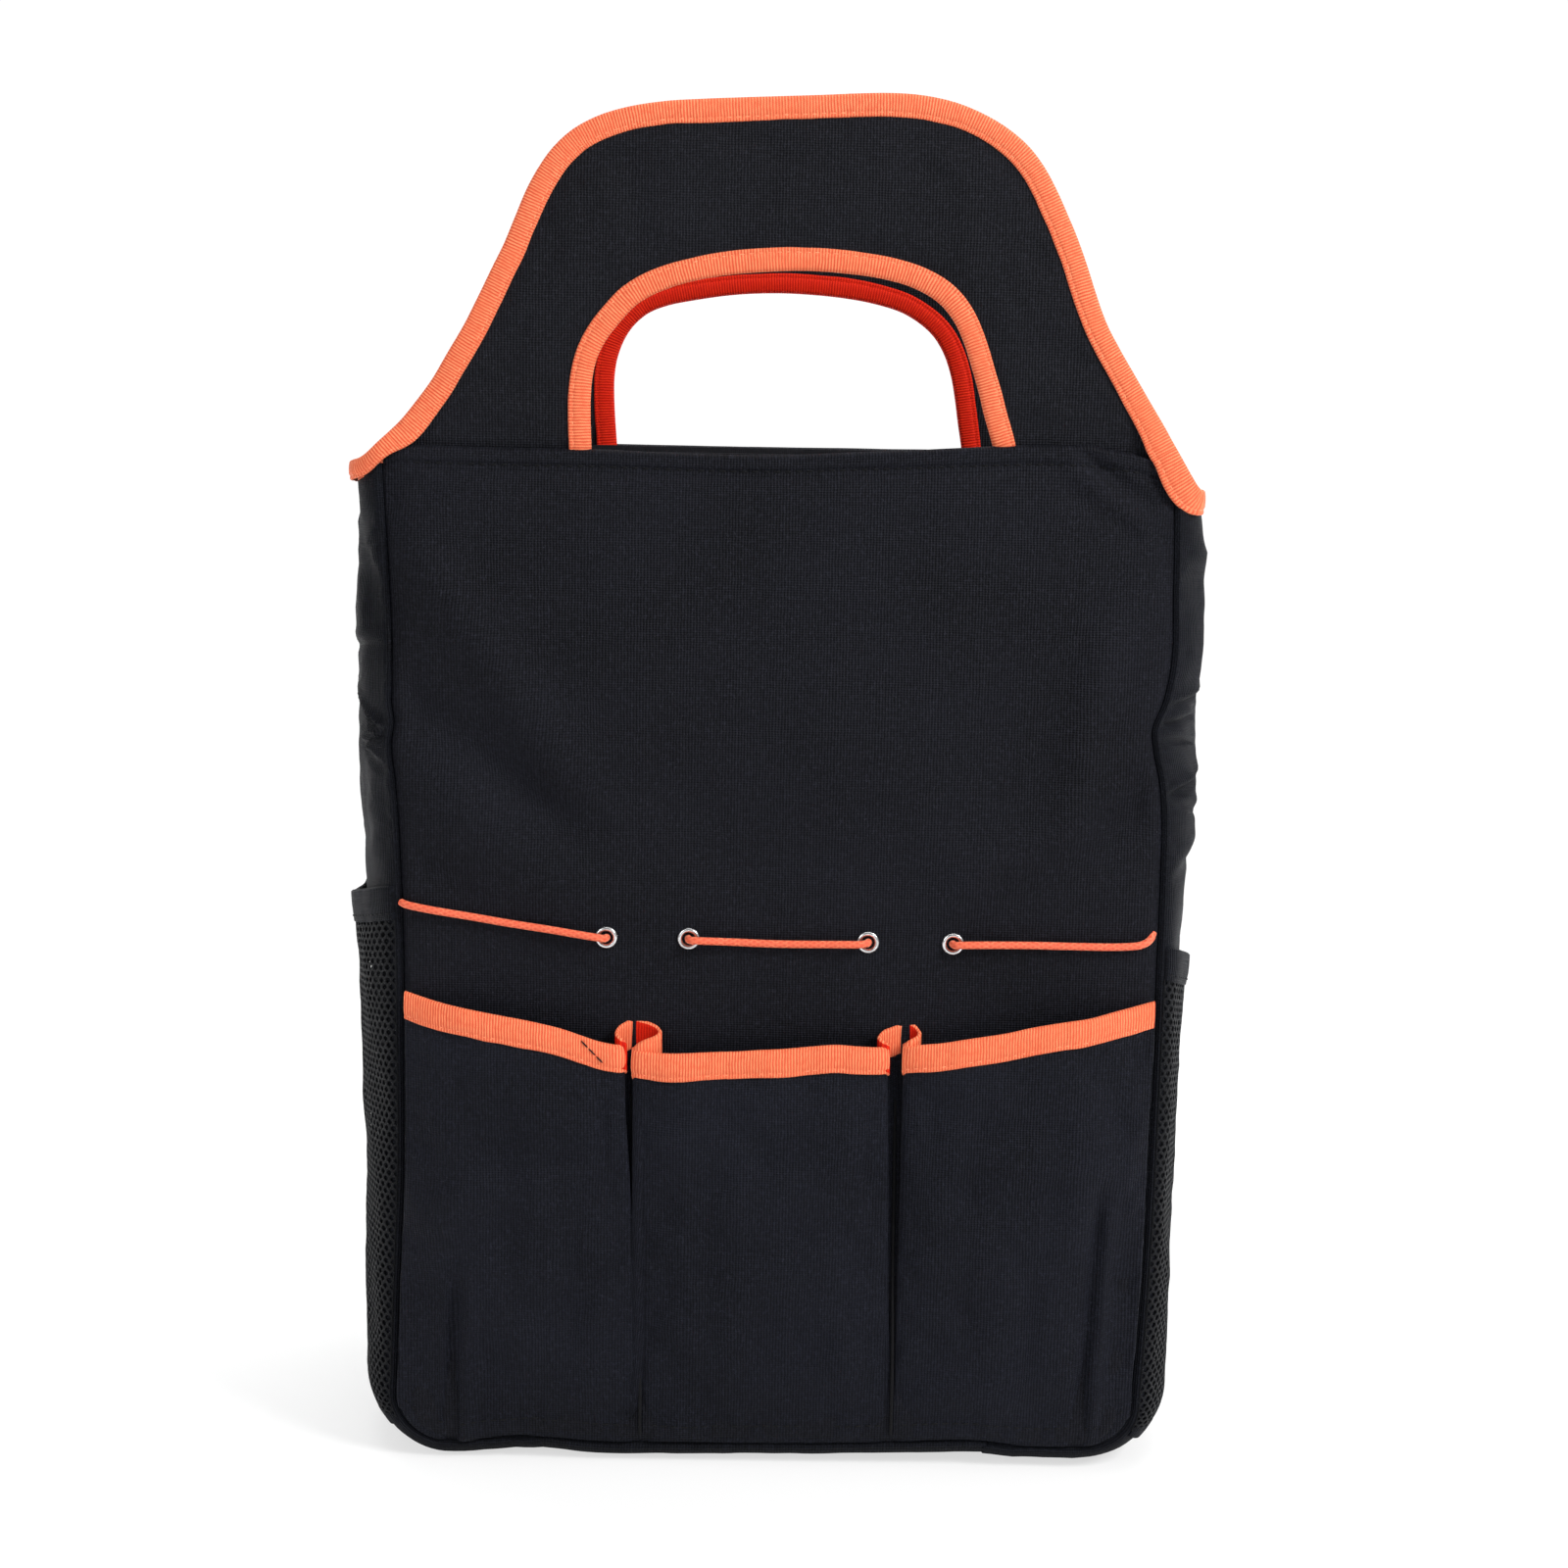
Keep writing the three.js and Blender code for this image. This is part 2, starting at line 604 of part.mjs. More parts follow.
for (const [name, stations] of Object.entries(POCKETS)) {
  add(`pocket_panel_${name}`, pocketPanel(stations), "pocket");
  add(`pocket_binding_${name}`, pocketEdging(stations), "tape");
}

// ---------------------------------------------------------------- pleats between the pockets
// Section of a box pleat behind a pair of pocket edges: the folded cloth that lets them open.
function pleatSection(centerX, z, thickness) {
  const front = POCKET_BACK_Y - POCKET_STAND * riseAt(centerX, z) + 1.6;
  const back = POCKET_BACK_Y;
  const middle = (front + back) / 2;
  const innerFront = front + thickness;
  const innerBack = back - thickness;
  return [
    [-3.2, front], [-12.6, middle], [-1.5, back],
    [1.5, back], [12.6, middle], [3.2, front],
    [3.2, innerFront], [11.2, middle], [1.5, innerBack],
    [-1.5, innerBack], [-11.2, middle], [-3.2, innerFront],
  ].map(([x, y]) => [centerX + x, y]);
}

// capZ: height of the section that the caps are triangulated from.
function pleat(centerX, { heights, thickness, capZ }) {
  const sections = heights.map((z) =>
    pleatSection(centerX, z, thickness).map(([x, y]) => [x, y, z]));
  return loft(sections, pleatSection(centerX, capZ, thickness));
}

const PLEAT_CLOTH = { heights: [60, 95, 130, 160], thickness: 0.6, capZ: 160 };
const PLEAT_TAPE = { heights: [160.3, 170.6], thickness: 0.9, capZ: 165 };
for (const [side, x] of [["left", DIVIDER_L], ["right", DIVIDER_R]]) {
  add(`pocket_pleat_${side}`, pleat(x, PLEAT_CLOTH), "pocket");
  add(`pleat_binding_${side}`, pleat(x, PLEAT_TAPE), "tape");
}

// ---------------------------------------------------------------- side mesh pockets
const MESH_TOP_L = 218; // top of the hems
const MESH_TOP_R = 202;
const MESH_GAPE = 7; // opening of the mouth at mid depth
const MESH_HALF_DEPTH = 71;
const GAPE_FROM_Z = 18; // the pocket opens from here upwards
const HEM = 12; // height of the hem
const MESH_T = 1;
const HEM_T = 1.5;
const MESH_CORNER_LIFT = 0.15; // extra clearance round the bottom corner

function meshPocket(side, mirror, top) {
  const gape = (y, z) => GAP + 0.1 + MESH_GAPE * (1 - (y / MESH_HALF_DEPTH) ** 2)
    * Math.max(0, (z - GAPE_FROM_Z) / (top - GAPE_FROM_Z));
  const cornerRow = (degrees) => ({ ...cornerStation(degToRad(degrees)), lift: MESH_CORNER_LIFT });
  const sideRow = (z) => ({ point: [SEAM_HALF, z], normal: [1, 0], baseShare: 0, lift: 0 });

  const grid = (rows, cut) => rows.map(({ point, normal, baseShare, lift }) =>
    ACROSS.slice(1, -1).map((y, i) => {
      const surface = outAt(i + 1, baseShare) + lift + cut;
      const out = surface + gape(y, point[1] + normal[1] * surface);
      return [mirror * (point[0] + normal[0] * out), y, point[1] + normal[1] * out];
    }));
  const sheet = (rows, thickness) => slab(grid(rows, thickness), grid(rows, 0));

  const meshTop = top - HEM - GAP;
  const meshRows = [
    ...[35, 18, 0].map(cornerRow),
    ...[0.3, 0.65, 1].map((share) => sideRow(lerp(CORNER_Z, meshTop, share))),
  ];
  add(`mesh_pocket_${side}`, sheet(meshRows, MESH_T), "mesh");
  add(`mesh_hem_${side}`, sheet([top - HEM, top].map(sideRow), HEM_T), "oxford");
}
meshPocket("left", LEFT, MESH_TOP_L);
meshPocket("right", RIGHT, MESH_TOP_R);

export default root;
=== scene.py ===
# Garden tool bag: the sewn, padded and pleated cloth around the fixed frame. Lengths are
# millimetres in the frame's axes (+X right seen from the front, -Y front, +Z up) and become
# metres when a mesh is made. The bag stands on z = 0, centred on the Z axis.
import math
from functools import cache
from typing import NamedTuple

import bmesh
import bpy
import numpy as np
from mathutils import Matrix, Vector


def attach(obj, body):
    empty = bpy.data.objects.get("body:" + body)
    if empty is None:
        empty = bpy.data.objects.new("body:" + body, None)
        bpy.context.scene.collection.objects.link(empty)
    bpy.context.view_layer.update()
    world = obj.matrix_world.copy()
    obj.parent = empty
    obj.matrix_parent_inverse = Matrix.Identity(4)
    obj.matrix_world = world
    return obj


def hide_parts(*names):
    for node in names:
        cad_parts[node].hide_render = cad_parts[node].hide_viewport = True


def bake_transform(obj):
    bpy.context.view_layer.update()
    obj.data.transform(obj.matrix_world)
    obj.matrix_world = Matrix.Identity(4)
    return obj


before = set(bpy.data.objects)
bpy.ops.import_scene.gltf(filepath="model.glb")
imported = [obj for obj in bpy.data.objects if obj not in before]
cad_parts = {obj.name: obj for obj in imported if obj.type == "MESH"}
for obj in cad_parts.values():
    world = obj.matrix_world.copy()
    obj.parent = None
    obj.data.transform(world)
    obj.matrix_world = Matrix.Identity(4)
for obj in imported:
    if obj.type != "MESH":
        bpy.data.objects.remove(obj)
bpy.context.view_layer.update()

MM = 0.001

# ------------------------------------------------------------------ driving dimensions
SEAM_X = 143.0  # half width at the side seams
HALF_DEPTH = 75.0
RIM_Z = 393.0
HEM_Z = RIM_Z - 6.4  # stitched line below the rim
SEAM_Z = 9.8  # height of the seam along the foot
CORNER_R = 17.5  # bottom corners of the front and back
CORNER_X = SEAM_X - CORNER_R
CORNER_Z = SEAM_Z + CORNER_R
EYELET_Z = 210.8
EYELET_X = (-62.8, -31.8, 35.8, 67.8)
TAPE_T = 0.7  # thickness of edging tape
TAPE_ROW = 1.7  # stitch row's distance from the tape's free edge
HANDLE_T = 3.1  # thickness of a handle at its edges
BULGE_Y = 75.3  # depth at which the bulge of the sides and the bottom dies out
POCKET_FOOT_Z = 14.0
DIVIDER_TOP_Z = 150.0
BOTTOM_X = 86.6  # half length of the bottom cloth, where it meets the side strips

SIDE_NAME = {-1: "front", 1: "back"}  # by the sign of y
HAND_NAME = {-1: "left", 1: "right"}  # by the sign of x
FRONT = (0, -1.0, 0)
UP = (0, 0, 1.0)

# Back handle's edge: height, half width
HANDLE_EDGE = [
    (397.5, 144.0), (404, 139.4), (414, 132.6), (424, 126.2), (434, 120.0), (446, 113.4),
    (460, 107.2), (472, 102.2), (482, 97.6), (490, 93.4), (497, 89.2), (503, 84.2), (508, 78.2),
    (512, 70.4), (515.4, 61), (517.6, 48), (519.2, 33), (520, 15), (520.2, 0),
]
# Front handle, pulled a little askew: x, z of its edge and its hand hole, left to right
FRONT_EDGE = np.array([
    (-145.6, 396.8), (-140.2, 401.6), (-134.6, 408.4), (-128.6, 416.4), (-122.6, 426.4),
    (-116.6, 436.4), (-111.0, 447.4), (-106.2, 457.2), (-102.0, 465.6), (-97.8, 475.6),
    (-93.6, 485.4), (-89.2, 493.2), (-84.2, 500.0), (-77.2, 506.3), (-68.0, 511.2),
    (-57.6, 514.4), (-44.0, 516.7), (-29.7, 517.8), (-9.0, 518.9), (12.3, 519.9), (26.2, 520.7),
    (38.0, 521.0), (49.0, 520.3), (60.0, 518.1), (70.0, 514.3), (79.0, 509.3), (86.6, 503.2),
    (92.4, 496.1), (97.0, 488.4), (101.0, 480.4), (105.2, 471.4), (109.2, 461.4), (112.8, 451.4),
    (117.0, 441.2), (122.4, 431.8), (128.4, 422.4), (134.4, 413.0), (139.8, 404.6),
    (143.8, 397.9),
])
FRONT_HOLE = [
    (-69.9, 384), (-70.0, 394), (-70.3, 402), (-70.3, 411), (-69.6, 419), (-67.8, 426),
    (-64.5, 432.4), (-59.5, 438.8), (-53.9, 444.7), (-46.9, 448.9), (-36, 452.9), (-22, 455.8),
    (-7.6, 457.3), (6.5, 458.0), (20.7, 457.4), (34.9, 455.7), (46, 452.8), (55.3, 447.8),
    (61, 441.6), (65.2, 433.6), (68.4, 424.6), (71.2, 416), (73.6, 407.4), (76.0, 400),
    (77.8, 394), (79.6, 384),
]
# Back handle's hand hole: x, z
BACK_HOLE = [
    (-70.6, 384), (-71.0, 392), (-71.8, 402), (-72.4, 412), (-72.4, 421), (-71.2, 429),
    (-68.3, 436.7), (-64.5, 442.4), (-58.5, 447.6), (-50.6, 450.9), (-38, 453.6), (-22, 456),
    (-5, 457), (9, 456.7), (24, 455.5), (37, 453.4), (48.9, 450.0), (57.3, 445.2), (63, 440),
    (67.4, 433), (70.6, 424), (72.6, 414), (74, 404.6), (75.8, 394), (77, 384),
]
# The front panel's two wandering side seams: height, x
FRONT_SEAM = {
    -1: [
        (11, -143.2), (21, -143.2), (35, -142.6), (56, -141.8), (89, -140.4), (116, -139.3),
        (154, -139.1), (192, -139.4), (230, -140.2), (267, -142.2), (284, -143.6), (291, -142.6),
        (298, -143.6), (304, -143.4), (340, -143.8), (376, -145.8), (393, -146.6),
    ],
    1: [
        (11, 143.0), (27, 142.9), (55, 143.9), (95, 144.8), (149, 145.2), (198, 145.3),
        (236, 145.2), (262, 144.6), (274, 143.2), (284, 140.9), (293, 139.8), (303, 143.2),
        (313, 145.2), (346, 145.3), (376, 144.4), (393, 143.8),
    ],
}
# How far the seam along the front's foot runs up and down: x, rise
FOOT_SHIFT = [
    (-140, -0.9), (-133, -1.4), (-122, -2.2), (-95, 0.6), (-80, -0.2), (-68, -1.0), (-30, -1.0),
    (8, -0.6), (46, 0.5), (84, 2.0), (104, 0.0), (123, 0.4), (134, 1.0), (142, 0.8),
]
# Lift of the front rim: x, rise
FRONT_RIM_RISE = [
    (-143, 0), (-70, 0), (0, -0.6), (40, 1.5), (70, 3.2), (92, 4.2), (112, 3.8), (128, 1.8),
    (138, 0),
]
# Soft folds of the front wall: start x, z, end x, z, width, height
WALL_FOLDS = [
    (-126, 342, -80, 278, 11, 3.6), (-138, 300, -84, 258, 10, -3.1),
    (-112, 252, -98, 242, 14, 1.82), (-134, 236, -120, 228, 8, -1.17),
    (118, 320, 112, 262, 9, 2.34), (137, 268, 124, 258, 9, -2.34),
    (130, 255, 88, 232, 9, -1.56), (110, 250, 84, 240, 13, 1.95),
    (20, 300, 60, 262, 22, 1.17), (-40, 262, 6, 240, 20, -0.91),
]
RIM_FOLDS = [
    (112, 389, 134, 377, 2.4, -1.69), (108, 384, 130, 371, 3.2, 1.04),
    (106, 379, 128, 365, 3.0, -1.04), (-120, 380, -138, 366, 4.0, -0.91),
]
# Creases in the sides: height, depth, half height, slope per mm of y, y centre, y half width
SIDE_FOLDS = {
    -1: [
        (318, 1.8, 1.9, -0.12, -58, 20), (291, 4.0, 1.8, 0.50, -60, 17),
        (283, 2.4, 1.6, -0.45, -64, 11), (276, 2.2, 2.2, 0.35, -62, 15),
        (352, 1.0, 6.0, 0.1, -20, 40), (246, 1.4, 4.0, -0.3, -54, 22),
    ],
    1: [
        (303, 3.0, 1.5, 0.10, -62, 17), (295, 3.4, 1.4, 0.02, -64, 20),
        (287, 2.6, 1.4, -0.14, -60, 16), (270, 3.8, 1.7, 0.16, -63, 18),
        (262, 1.6, 2.0, -0.3, -60, 14), (345, 1.2, 6.0, -0.1, -20, 40),
        (240, 1.2, 4.0, 0.2, -56, 22),
    ],
}
# How far the sides lean outward: height, distance
SIDE_LEAN = {
    -1: [
        (40, 0.4), (120, 0.2), (200, 0.2), (240, 1.6), (270, 1.4), (300, 1.0), (330, 1.6),
        (352, 0.8), (368, 0.2), (386, 1.2),
    ],
    1: [
        (40, 0.4), (120, -1.6), (200, -1.8), (235, 0.0), (262, 1.4), (280, 2.0), (300, 0.6),
        (330, 0.6), (352, 1.2), (366, 1.4), (376, 0.2), (386, -1.2),
    ],
}
# Edging from a handle's foot round the corner, on each side: x, y, z
FRONT_CORNER = {
    -1: [
        (-148.6, -76.3, 393.4), (-152.4, -75.4, 389.8), (-155.8, -72.6, 387.2),
        (-158.3, -68.0, 386.0), (-160.0, -61.5, 385.6),
    ],
    1: [
        (146.6, -76.4, 392.9), (149.6, -76.3, 388.0), (152.0, -75.6, 384.4),
        (154.0, -73.0, 381.9), (155.5, -68.0, 380.8), (156.8, -61.5, 380.6),
    ],
}
BACK_CORNER = np.array([
    (146.4, 76.3, 393.4), (149.8, 75.6, 390.2), (153.2, 73.0, 387.8), (156.4, 68.0, 387.2),
])
# Top of the pocket row: x, z
MOUTH = {
    "left": [
        (-145, 190.6), (-137, 188.7), (-130.4, 187.1), (-117, 184.7), (-103.8, 182.3),
        (-90.5, 180.0), (-77.2, 176.8), (-70.6, 174.5), (-63.9, 172.3), (-57.5, 171.2),
        (-50, 171.0),
    ],
    "center": [
        (-56, 169.4), (-51.3, 169.2), (-40.6, 168.5), (-31.3, 168.8), (-22, 169.4),
        (-12.8, 169.8), (-3.6, 170.6), (5.6, 171.2), (14.9, 172.1), (24, 173.0), (33.3, 172.5),
        (42.5, 172.2), (50, 172.4),
    ],
    "right": [
        (46, 171.8), (50, 172.6), (56.6, 173.6), (64.7, 174.6), (72.8, 176.2), (80.9, 177.6),
        (89, 179.0), (97, 181.0), (105, 182.6), (113, 183.9), (121, 185.0), (129, 186.8),
        (137.3, 188.6), (146, 190.9),
    ],
}
# Edges of the two slits between the pockets: height, x
SLIT = {
    "left_end": [(12, -48.6), (40, -48.9), (79, -50.1), (118, -51.9), (157, -54.3), (172, -54.6)],
    "center_start": [
        (12, -47.9), (40, -48.0), (79, -48.7), (118, -50.1), (157, -52.0), (170, -52.5),
    ],
    "center_end": [(12, 49.1), (42, 48.7), (81, 47.3), (120, 46.2), (159, 44.9), (172, 44.5)],
    "right_start": [(12, 49.6), (42, 49.9), (81, 49.7), (120, 49.7), (159, 49.8), (174, 49.6)],
}
# Upright creases of the pockets: x, depth, half width, from z, to z
POCKET_CREASES = {
    "left": [
        (-120.5, 3.0, 2.4, -6, 84), (-72, 0.9, 5.0, 30, 120), (-100, 0.9, 6.0, 60, 150),
        (-61, 1.4, 3.0, 112, 160),
    ],
    "center": [(-24, 0.7, 6.0, 40, 150), (14, 0.7, 7.0, 20, 130), (38, 0.9, 3.5, 90, 160)],
    "right": [
        (124, 2.6, 2.4, 4, 122), (76, 0.7, 6.0, 40, 140), (100, 0.8, 5.0, 15, 90),
        (60, 1.0, 4.0, 100, 160),
    ],
}


# ------------------------------------------------------------------ numeric helpers
def smooth(t):
    t = np.clip(t, 0.0, 1.0)
    return t * t * (3 - 2 * t)


def bump(x, center, width):
    return np.exp(-(((x - center) / width) ** 2))


@cache
def lattice(seed):
    return np.random.default_rng(seed).uniform(-1, 1, (64, 64))


def value_noise(x, y, scale, seed):
    """Smooth value noise, about -1 to 1."""
    values = lattice(seed)
    u = np.asarray(x, float) / scale + 1000.37
    v = np.asarray(y, float) / scale + 1000.61
    i, j = np.floor(u).astype(int), np.floor(v).astype(int)
    fu, fv = u - i, v - j
    fu = fu**3 * (fu * (fu * 6 - 15) + 10)
    fv = fv**3 * (fv * (fv * 6 - 15) + 10)
    a, b = values[i % 64, j % 64], values[(i + 1) % 64, j % 64]
    c, d = values[i % 64, (j + 1) % 64], values[(i + 1) % 64, (j + 1) % 64]
    return a * (1 - fu) * (1 - fv) + b * fu * (1 - fv) + c * (1 - fu) * fv + d * fu * fv


def fractal(x, y, scale, seed):
    """Three octaves of value noise."""
    return sum(0.5**k * value_noise(x, y, scale / 2**k, seed + 31 * k) for k in range(3))


def unit(v):
    return v / np.maximum(np.linalg.norm(v, axis=-1, keepdims=True), 1e-9)


def arc(points, axis=0):
    """Length run along an axis of a path or grid of points, from 0."""
    first = np.take(points, [0], axis)
    steps = np.linalg.norm(np.diff(points, axis=axis, prepend=first), axis=-1)
    return np.cumsum(steps, axis)


def resample(at, stations, values):
    """Rows of values, given at stations, read at other places."""
    return np.stack([np.interp(at, stations, column) for column in values.T], -1)


def spline(points, step=2.0, closed=False):
    """Centripetal Catmull-Rom through the points, resampled at an even step."""
    p = np.asarray(points, float)
    if closed:
        p = np.vstack([p[-1], p, p[0], p[1]])
    else:
        p = np.vstack([2 * p[0] - p[1], p, 2 * p[-1] - p[-2]])
    dense = []
    for p0, p1, p2, p3 in zip(p, p[1:], p[2:], p[3:]):
        t0 = 0.0
        t1 = t0 + np.linalg.norm(p1 - p0) ** 0.5
        t2 = t1 + np.linalg.norm(p2 - p1) ** 0.5
        t3 = t2 + np.linalg.norm(p3 - p2) ** 0.5
        t = np.linspace(t1, t2, 24, endpoint=False)[:, None]

        def between(a, b, ta, tb):
            return (tb - t) / (tb - ta) * a + (t - ta) / (tb - ta) * b

        a1 = between(p0, p1, t0, t1)
        a2 = between(p1, p2, t1, t2)
        a3 = between(p2, p3, t2, t3)
        b1 = between(a1, a2, t0, t2)
        b2 = between(a2, a3, t1, t3)
        dense.append(between(b1, b2, t1, t2))
    dense = np.vstack(dense + [p[-2][None]])
    s = arc(dense)
    count = max(3, int(round(s[-1] / step)) + 1)
    return resample(np.linspace(0, s[-1], count), s, dense)


def read_table(at, points):
    """Reads a table of (at, value) points along a smooth curve, held level past its ends."""
    x, y = np.asarray(points, float).T
    slope = np.gradient(y, x)
    at = np.clip(np.asarray(at, float), x[0], x[-1])
    k = np.clip(np.searchsorted(x, at) - 1, 0, len(x) - 2)
    h = x[k + 1] - x[k]
    f = (at - x[k]) / h
    return (
        y[k] * (1 + 2 * f) * (1 - f) ** 2 + slope[k] * h * f * (1 - f) ** 2
        + y[k + 1] * f**2 * (3 - 2 * f) + slope[k + 1] * h * f**2 * (f - 1)
    )


def fold(x, z, x0, z0, x1, z1, width, height):
    """A soft straight fold between two points, fading out past its ends."""
    dx, dz = x1 - x0, z1 - z0
    length = math.hypot(dx, dz)
    along = ((x - x0) * dx + (z - z0) * dz) / length
    off = ((x - x0) * -dz + (z - z0) * dx) / length
    over = np.clip(np.maximum(-along, along - length), 0, None)
    return height * np.exp(-((off / width) ** 2) - (over / (width * 1.6)) ** 2)


def folds(x, z, rows):
    return sum(fold(x, z, *row) for row in rows)


def tangents(path):
    return unit(np.gradient(path, axis=0))


def left_of(curve):
    """Unit normals on the left of a plane curve."""
    t = tangents(curve)
    return np.stack([-t[:, 1], t[:, 0]], -1)


def from_xz(xz, y):
    """Plane (x, z) rows set at depth y."""
    return np.stack([xz[:, 0], y + 0 * xz[:, 0], xz[:, 1]], -1)


# ------------------------------------------------------------------ mesh makers
class Part(NamedTuple):
    """A shape in millimetres; mats is one material index or one for each face."""
    verts: np.ndarray
    quads: np.ndarray
    uvs: np.ndarray = None
    mats: object = 0
    tris: np.ndarray = np.zeros((0, 3), int)
    sharp: np.ndarray = np.zeros((0, 2), int)


def build(name, part, materials=()):
    """A smooth shaded object from a part; with materials it is finished with UVs and normals."""
    me = bpy.data.meshes.new(name)
    me.vertices.add(len(part.verts))
    me.vertices.foreach_set("co", (part.verts * MM).astype(np.float32).ravel())
    loops = np.concatenate([part.quads.ravel(), part.tris.ravel()])
    me.loops.add(len(loops))
    me.loops.foreach_set("vertex_index", loops.astype(np.int32))
    quad_starts = np.arange(len(part.quads)) * 4
    tri_starts = len(part.quads) * 4 + np.arange(len(part.tris)) * 3
    me.polygons.add(len(part.quads) + len(part.tris))
    starts = np.concatenate([quad_starts, tri_starts])
    me.polygons.foreach_set("loop_start", starts.astype(np.int32))
    if materials:
        layer = me.uv_layers.new(name="cloth")
        layer.data.foreach_set("uv", (part.uvs[loops] * MM).astype(np.float32).ravel())
        for material in materials:
            me.materials.append(material)
        me.polygons.foreach_set("material_index", np.asarray(part.mats, np.int32))
    me.polygons.foreach_set("use_smooth", np.ones(len(me.polygons), bool))
    me.update(calc_edges=True)
    me.validate()
    if materials:
        bm = bmesh.new()
        bm.from_mesh(me)
        bmesh.ops.recalc_face_normals(bm, faces=bm.faces)
        bm.to_mesh(me)
        bm.free()
    if len(part.sharp):
        sharp = {tuple(sorted(edge)) for edge in part.sharp.tolist()}
        edges = np.zeros(len(me.edges) * 2, np.int32)
        me.edges.foreach_get("vertices", edges)
        edges = np.sort(edges.reshape(-1, 2), 1)
        flags = np.array([tuple(edge) in sharp for edge in edges.tolist()])
        me.attributes.new("sharp_edge", "BOOLEAN", "EDGE").data.foreach_set("value", flags)
    ob = bpy.data.objects.new(name, me)
    bpy.context.scene.collection.objects.link(ob)
    return ob


def merge(parts):
    """Joins parts into one whose material indices run over all quads, then all triangles."""
    starts = np.cumsum([0] + [len(part.verts) for part in parts[:-1]])

    def shifted(field):
        return np.vstack([getattr(part, field) + start for part, start in zip(parts, starts)])

    quad_mats = [np.broadcast_to(part.mats, len(part.quads)) for part in parts]
    tri_mats = [np.full(len(part.tris), np.max(part.mats)) for part in parts]
    return Part(
        verts=np.vstack([part.verts for part in parts]),
        quads=shifted("quads"),
        uvs=np.vstack([part.uvs for part in parts]),
        mats=np.concatenate(quad_mats + tri_mats),
        tris=shifted("tris"),
        sharp=shifted("sharp"),
    )


def piece(name, parts, materials, slot, *replaced, body="shell"):
    """One finished object, standing in for the named frame nodes and riding on a body."""
    ob = build(name, merge(parts), materials)
    if body:
        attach(ob, body)
    if replaced:
        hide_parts(*replaced)
    return ob


def grid_normals(grid):
    return unit(np.cross(np.gradient(grid, axis=0), np.gradient(grid, axis=1)))


def grid_quads(index):
    corners = [index[:-1, :-1], index[1:, :-1], index[1:, 1:], index[:-1, 1:]]
    return np.stack(corners, -1).reshape(-1, 4)


def ring_quads(a, b):
    """Quads between closed rings a and the rings b that follow them."""
    return np.stack([a, np.roll(a, -1, -1), np.roll(b, -1, -1), b], -1).reshape(-1, 4)


def uv_grid(u, v):
    return np.stack(np.broadcast_arrays(u, v), -1).reshape(-1, 2)


def sheet_part(grid, thick, uv=None, toward=None, lip=0.45):
    """A closed sheet of cloth: grid is the outer face, toward a direction that face looks."""
    rows, cols, _ = grid.shape
    normal = grid_normals(grid)
    if toward is not None and (normal.reshape(-1, 3) @ np.asarray(toward, float)).mean() < 0:
        normal = -normal
    thick = np.broadcast_to(thick, (rows, cols))[..., None]
    if uv is None:
        uv = np.stack([arc(grid, 1), arc(grid, 0)], -1)
    uv = uv.reshape(-1, 2)
    index = np.arange(rows * cols).reshape(rows, cols)
    border = np.concatenate([index[0, :-1], index[:-1, -1], index[-1, :0:-1], index[:0:-1, 0]])
    quads = grid_quads(index)
    outer = grid.reshape(-1, 3)
    inner = (grid - normal * thick).reshape(-1, 3)
    # the direction out of the sheet along its border
    away = np.zeros_like(grid)
    away[0] += grid[0] - grid[1]
    away[-1] += grid[-1] - grid[-2]
    away[:, 0] += grid[:, 0] - grid[:, 1]
    away[:, -1] += grid[:, -1] - grid[:, -2]
    away = unit(away).reshape(-1, 3)
    middle = (outer + inner)[border] / 2 + away[border] * thick.reshape(-1, 1)[border] * lip
    count = rows * cols
    here = np.arange(len(border))
    after = np.roll(here, -1)
    rim = np.vstack([
        np.stack([border, border[after], 2 * count + after, 2 * count + here], -1),
        np.stack([2 * count + here, 2 * count + after, count + border[after], count + border], -1),
    ])
    return Part(
        verts=np.vstack([outer, inner, middle]),
        quads=np.vstack([quads, quads[:, ::-1] + count, rim]),
        uvs=np.vstack([uv, uv, uv[border]]),
    )


def cap_tris(ring):
    """Triangles closing a ring, in a zigzag from its first point."""
    tris = []
    i, j = 0, len(ring) - 1
    while j - i > 1:
        tris.append((ring[i], ring[i + 1], ring[j]))
        i += 1
        if j - i > 1:
            tris.append((ring[i], ring[j - 1], ring[j]))
            j -= 1
    return tris


def sweep_part(path, u_dir, v_dir, section, mats=0):
    """A closed section of (u, v) points carried along a path; mats may run round the section."""
    count, sides = len(path), section.shape[-2]
    section = np.broadcast_to(section, (count, sides, 2))
    verts = path[:, None] + section[..., :1] * u_dir[:, None] + section[..., 1:] * v_dir[:, None]
    index = np.arange(count * sides).reshape(count, sides)
    ends = (index[0], index[-1])
    return Part(
        verts=verts.reshape(-1, 3),
        quads=ring_quads(index[:-1], index[1:]),
        uvs=uv_grid(arc(path)[:, None], arc(section[0])[None]),
        mats=np.tile(np.asarray(mats), count - 1) if np.ndim(mats) else mats,
        tris=np.array(cap_tris(ends[0]) + cap_tris(ends[1])),
        sharp=np.vstack([np.stack([ring, np.roll(ring, -1)], -1) for ring in ends]),
    )


def tube_part(points, radius, step, sides):
    """A round cord through points, with flat ends."""
    path = spline(points, step)
    t = tangents(path)
    reference = np.where(np.abs(t[:, 2:3]) > 0.9, [[1.0, 0, 0]], [[0, 0, 1.0]])
    u = unit(np.cross(t, reference))
    angle = np.linspace(0, 2 * np.pi, sides, endpoint=False)
    return sweep_part(path, u, np.cross(t, u), np.stack([np.cos(angle), np.sin(angle)], -1) * radius)


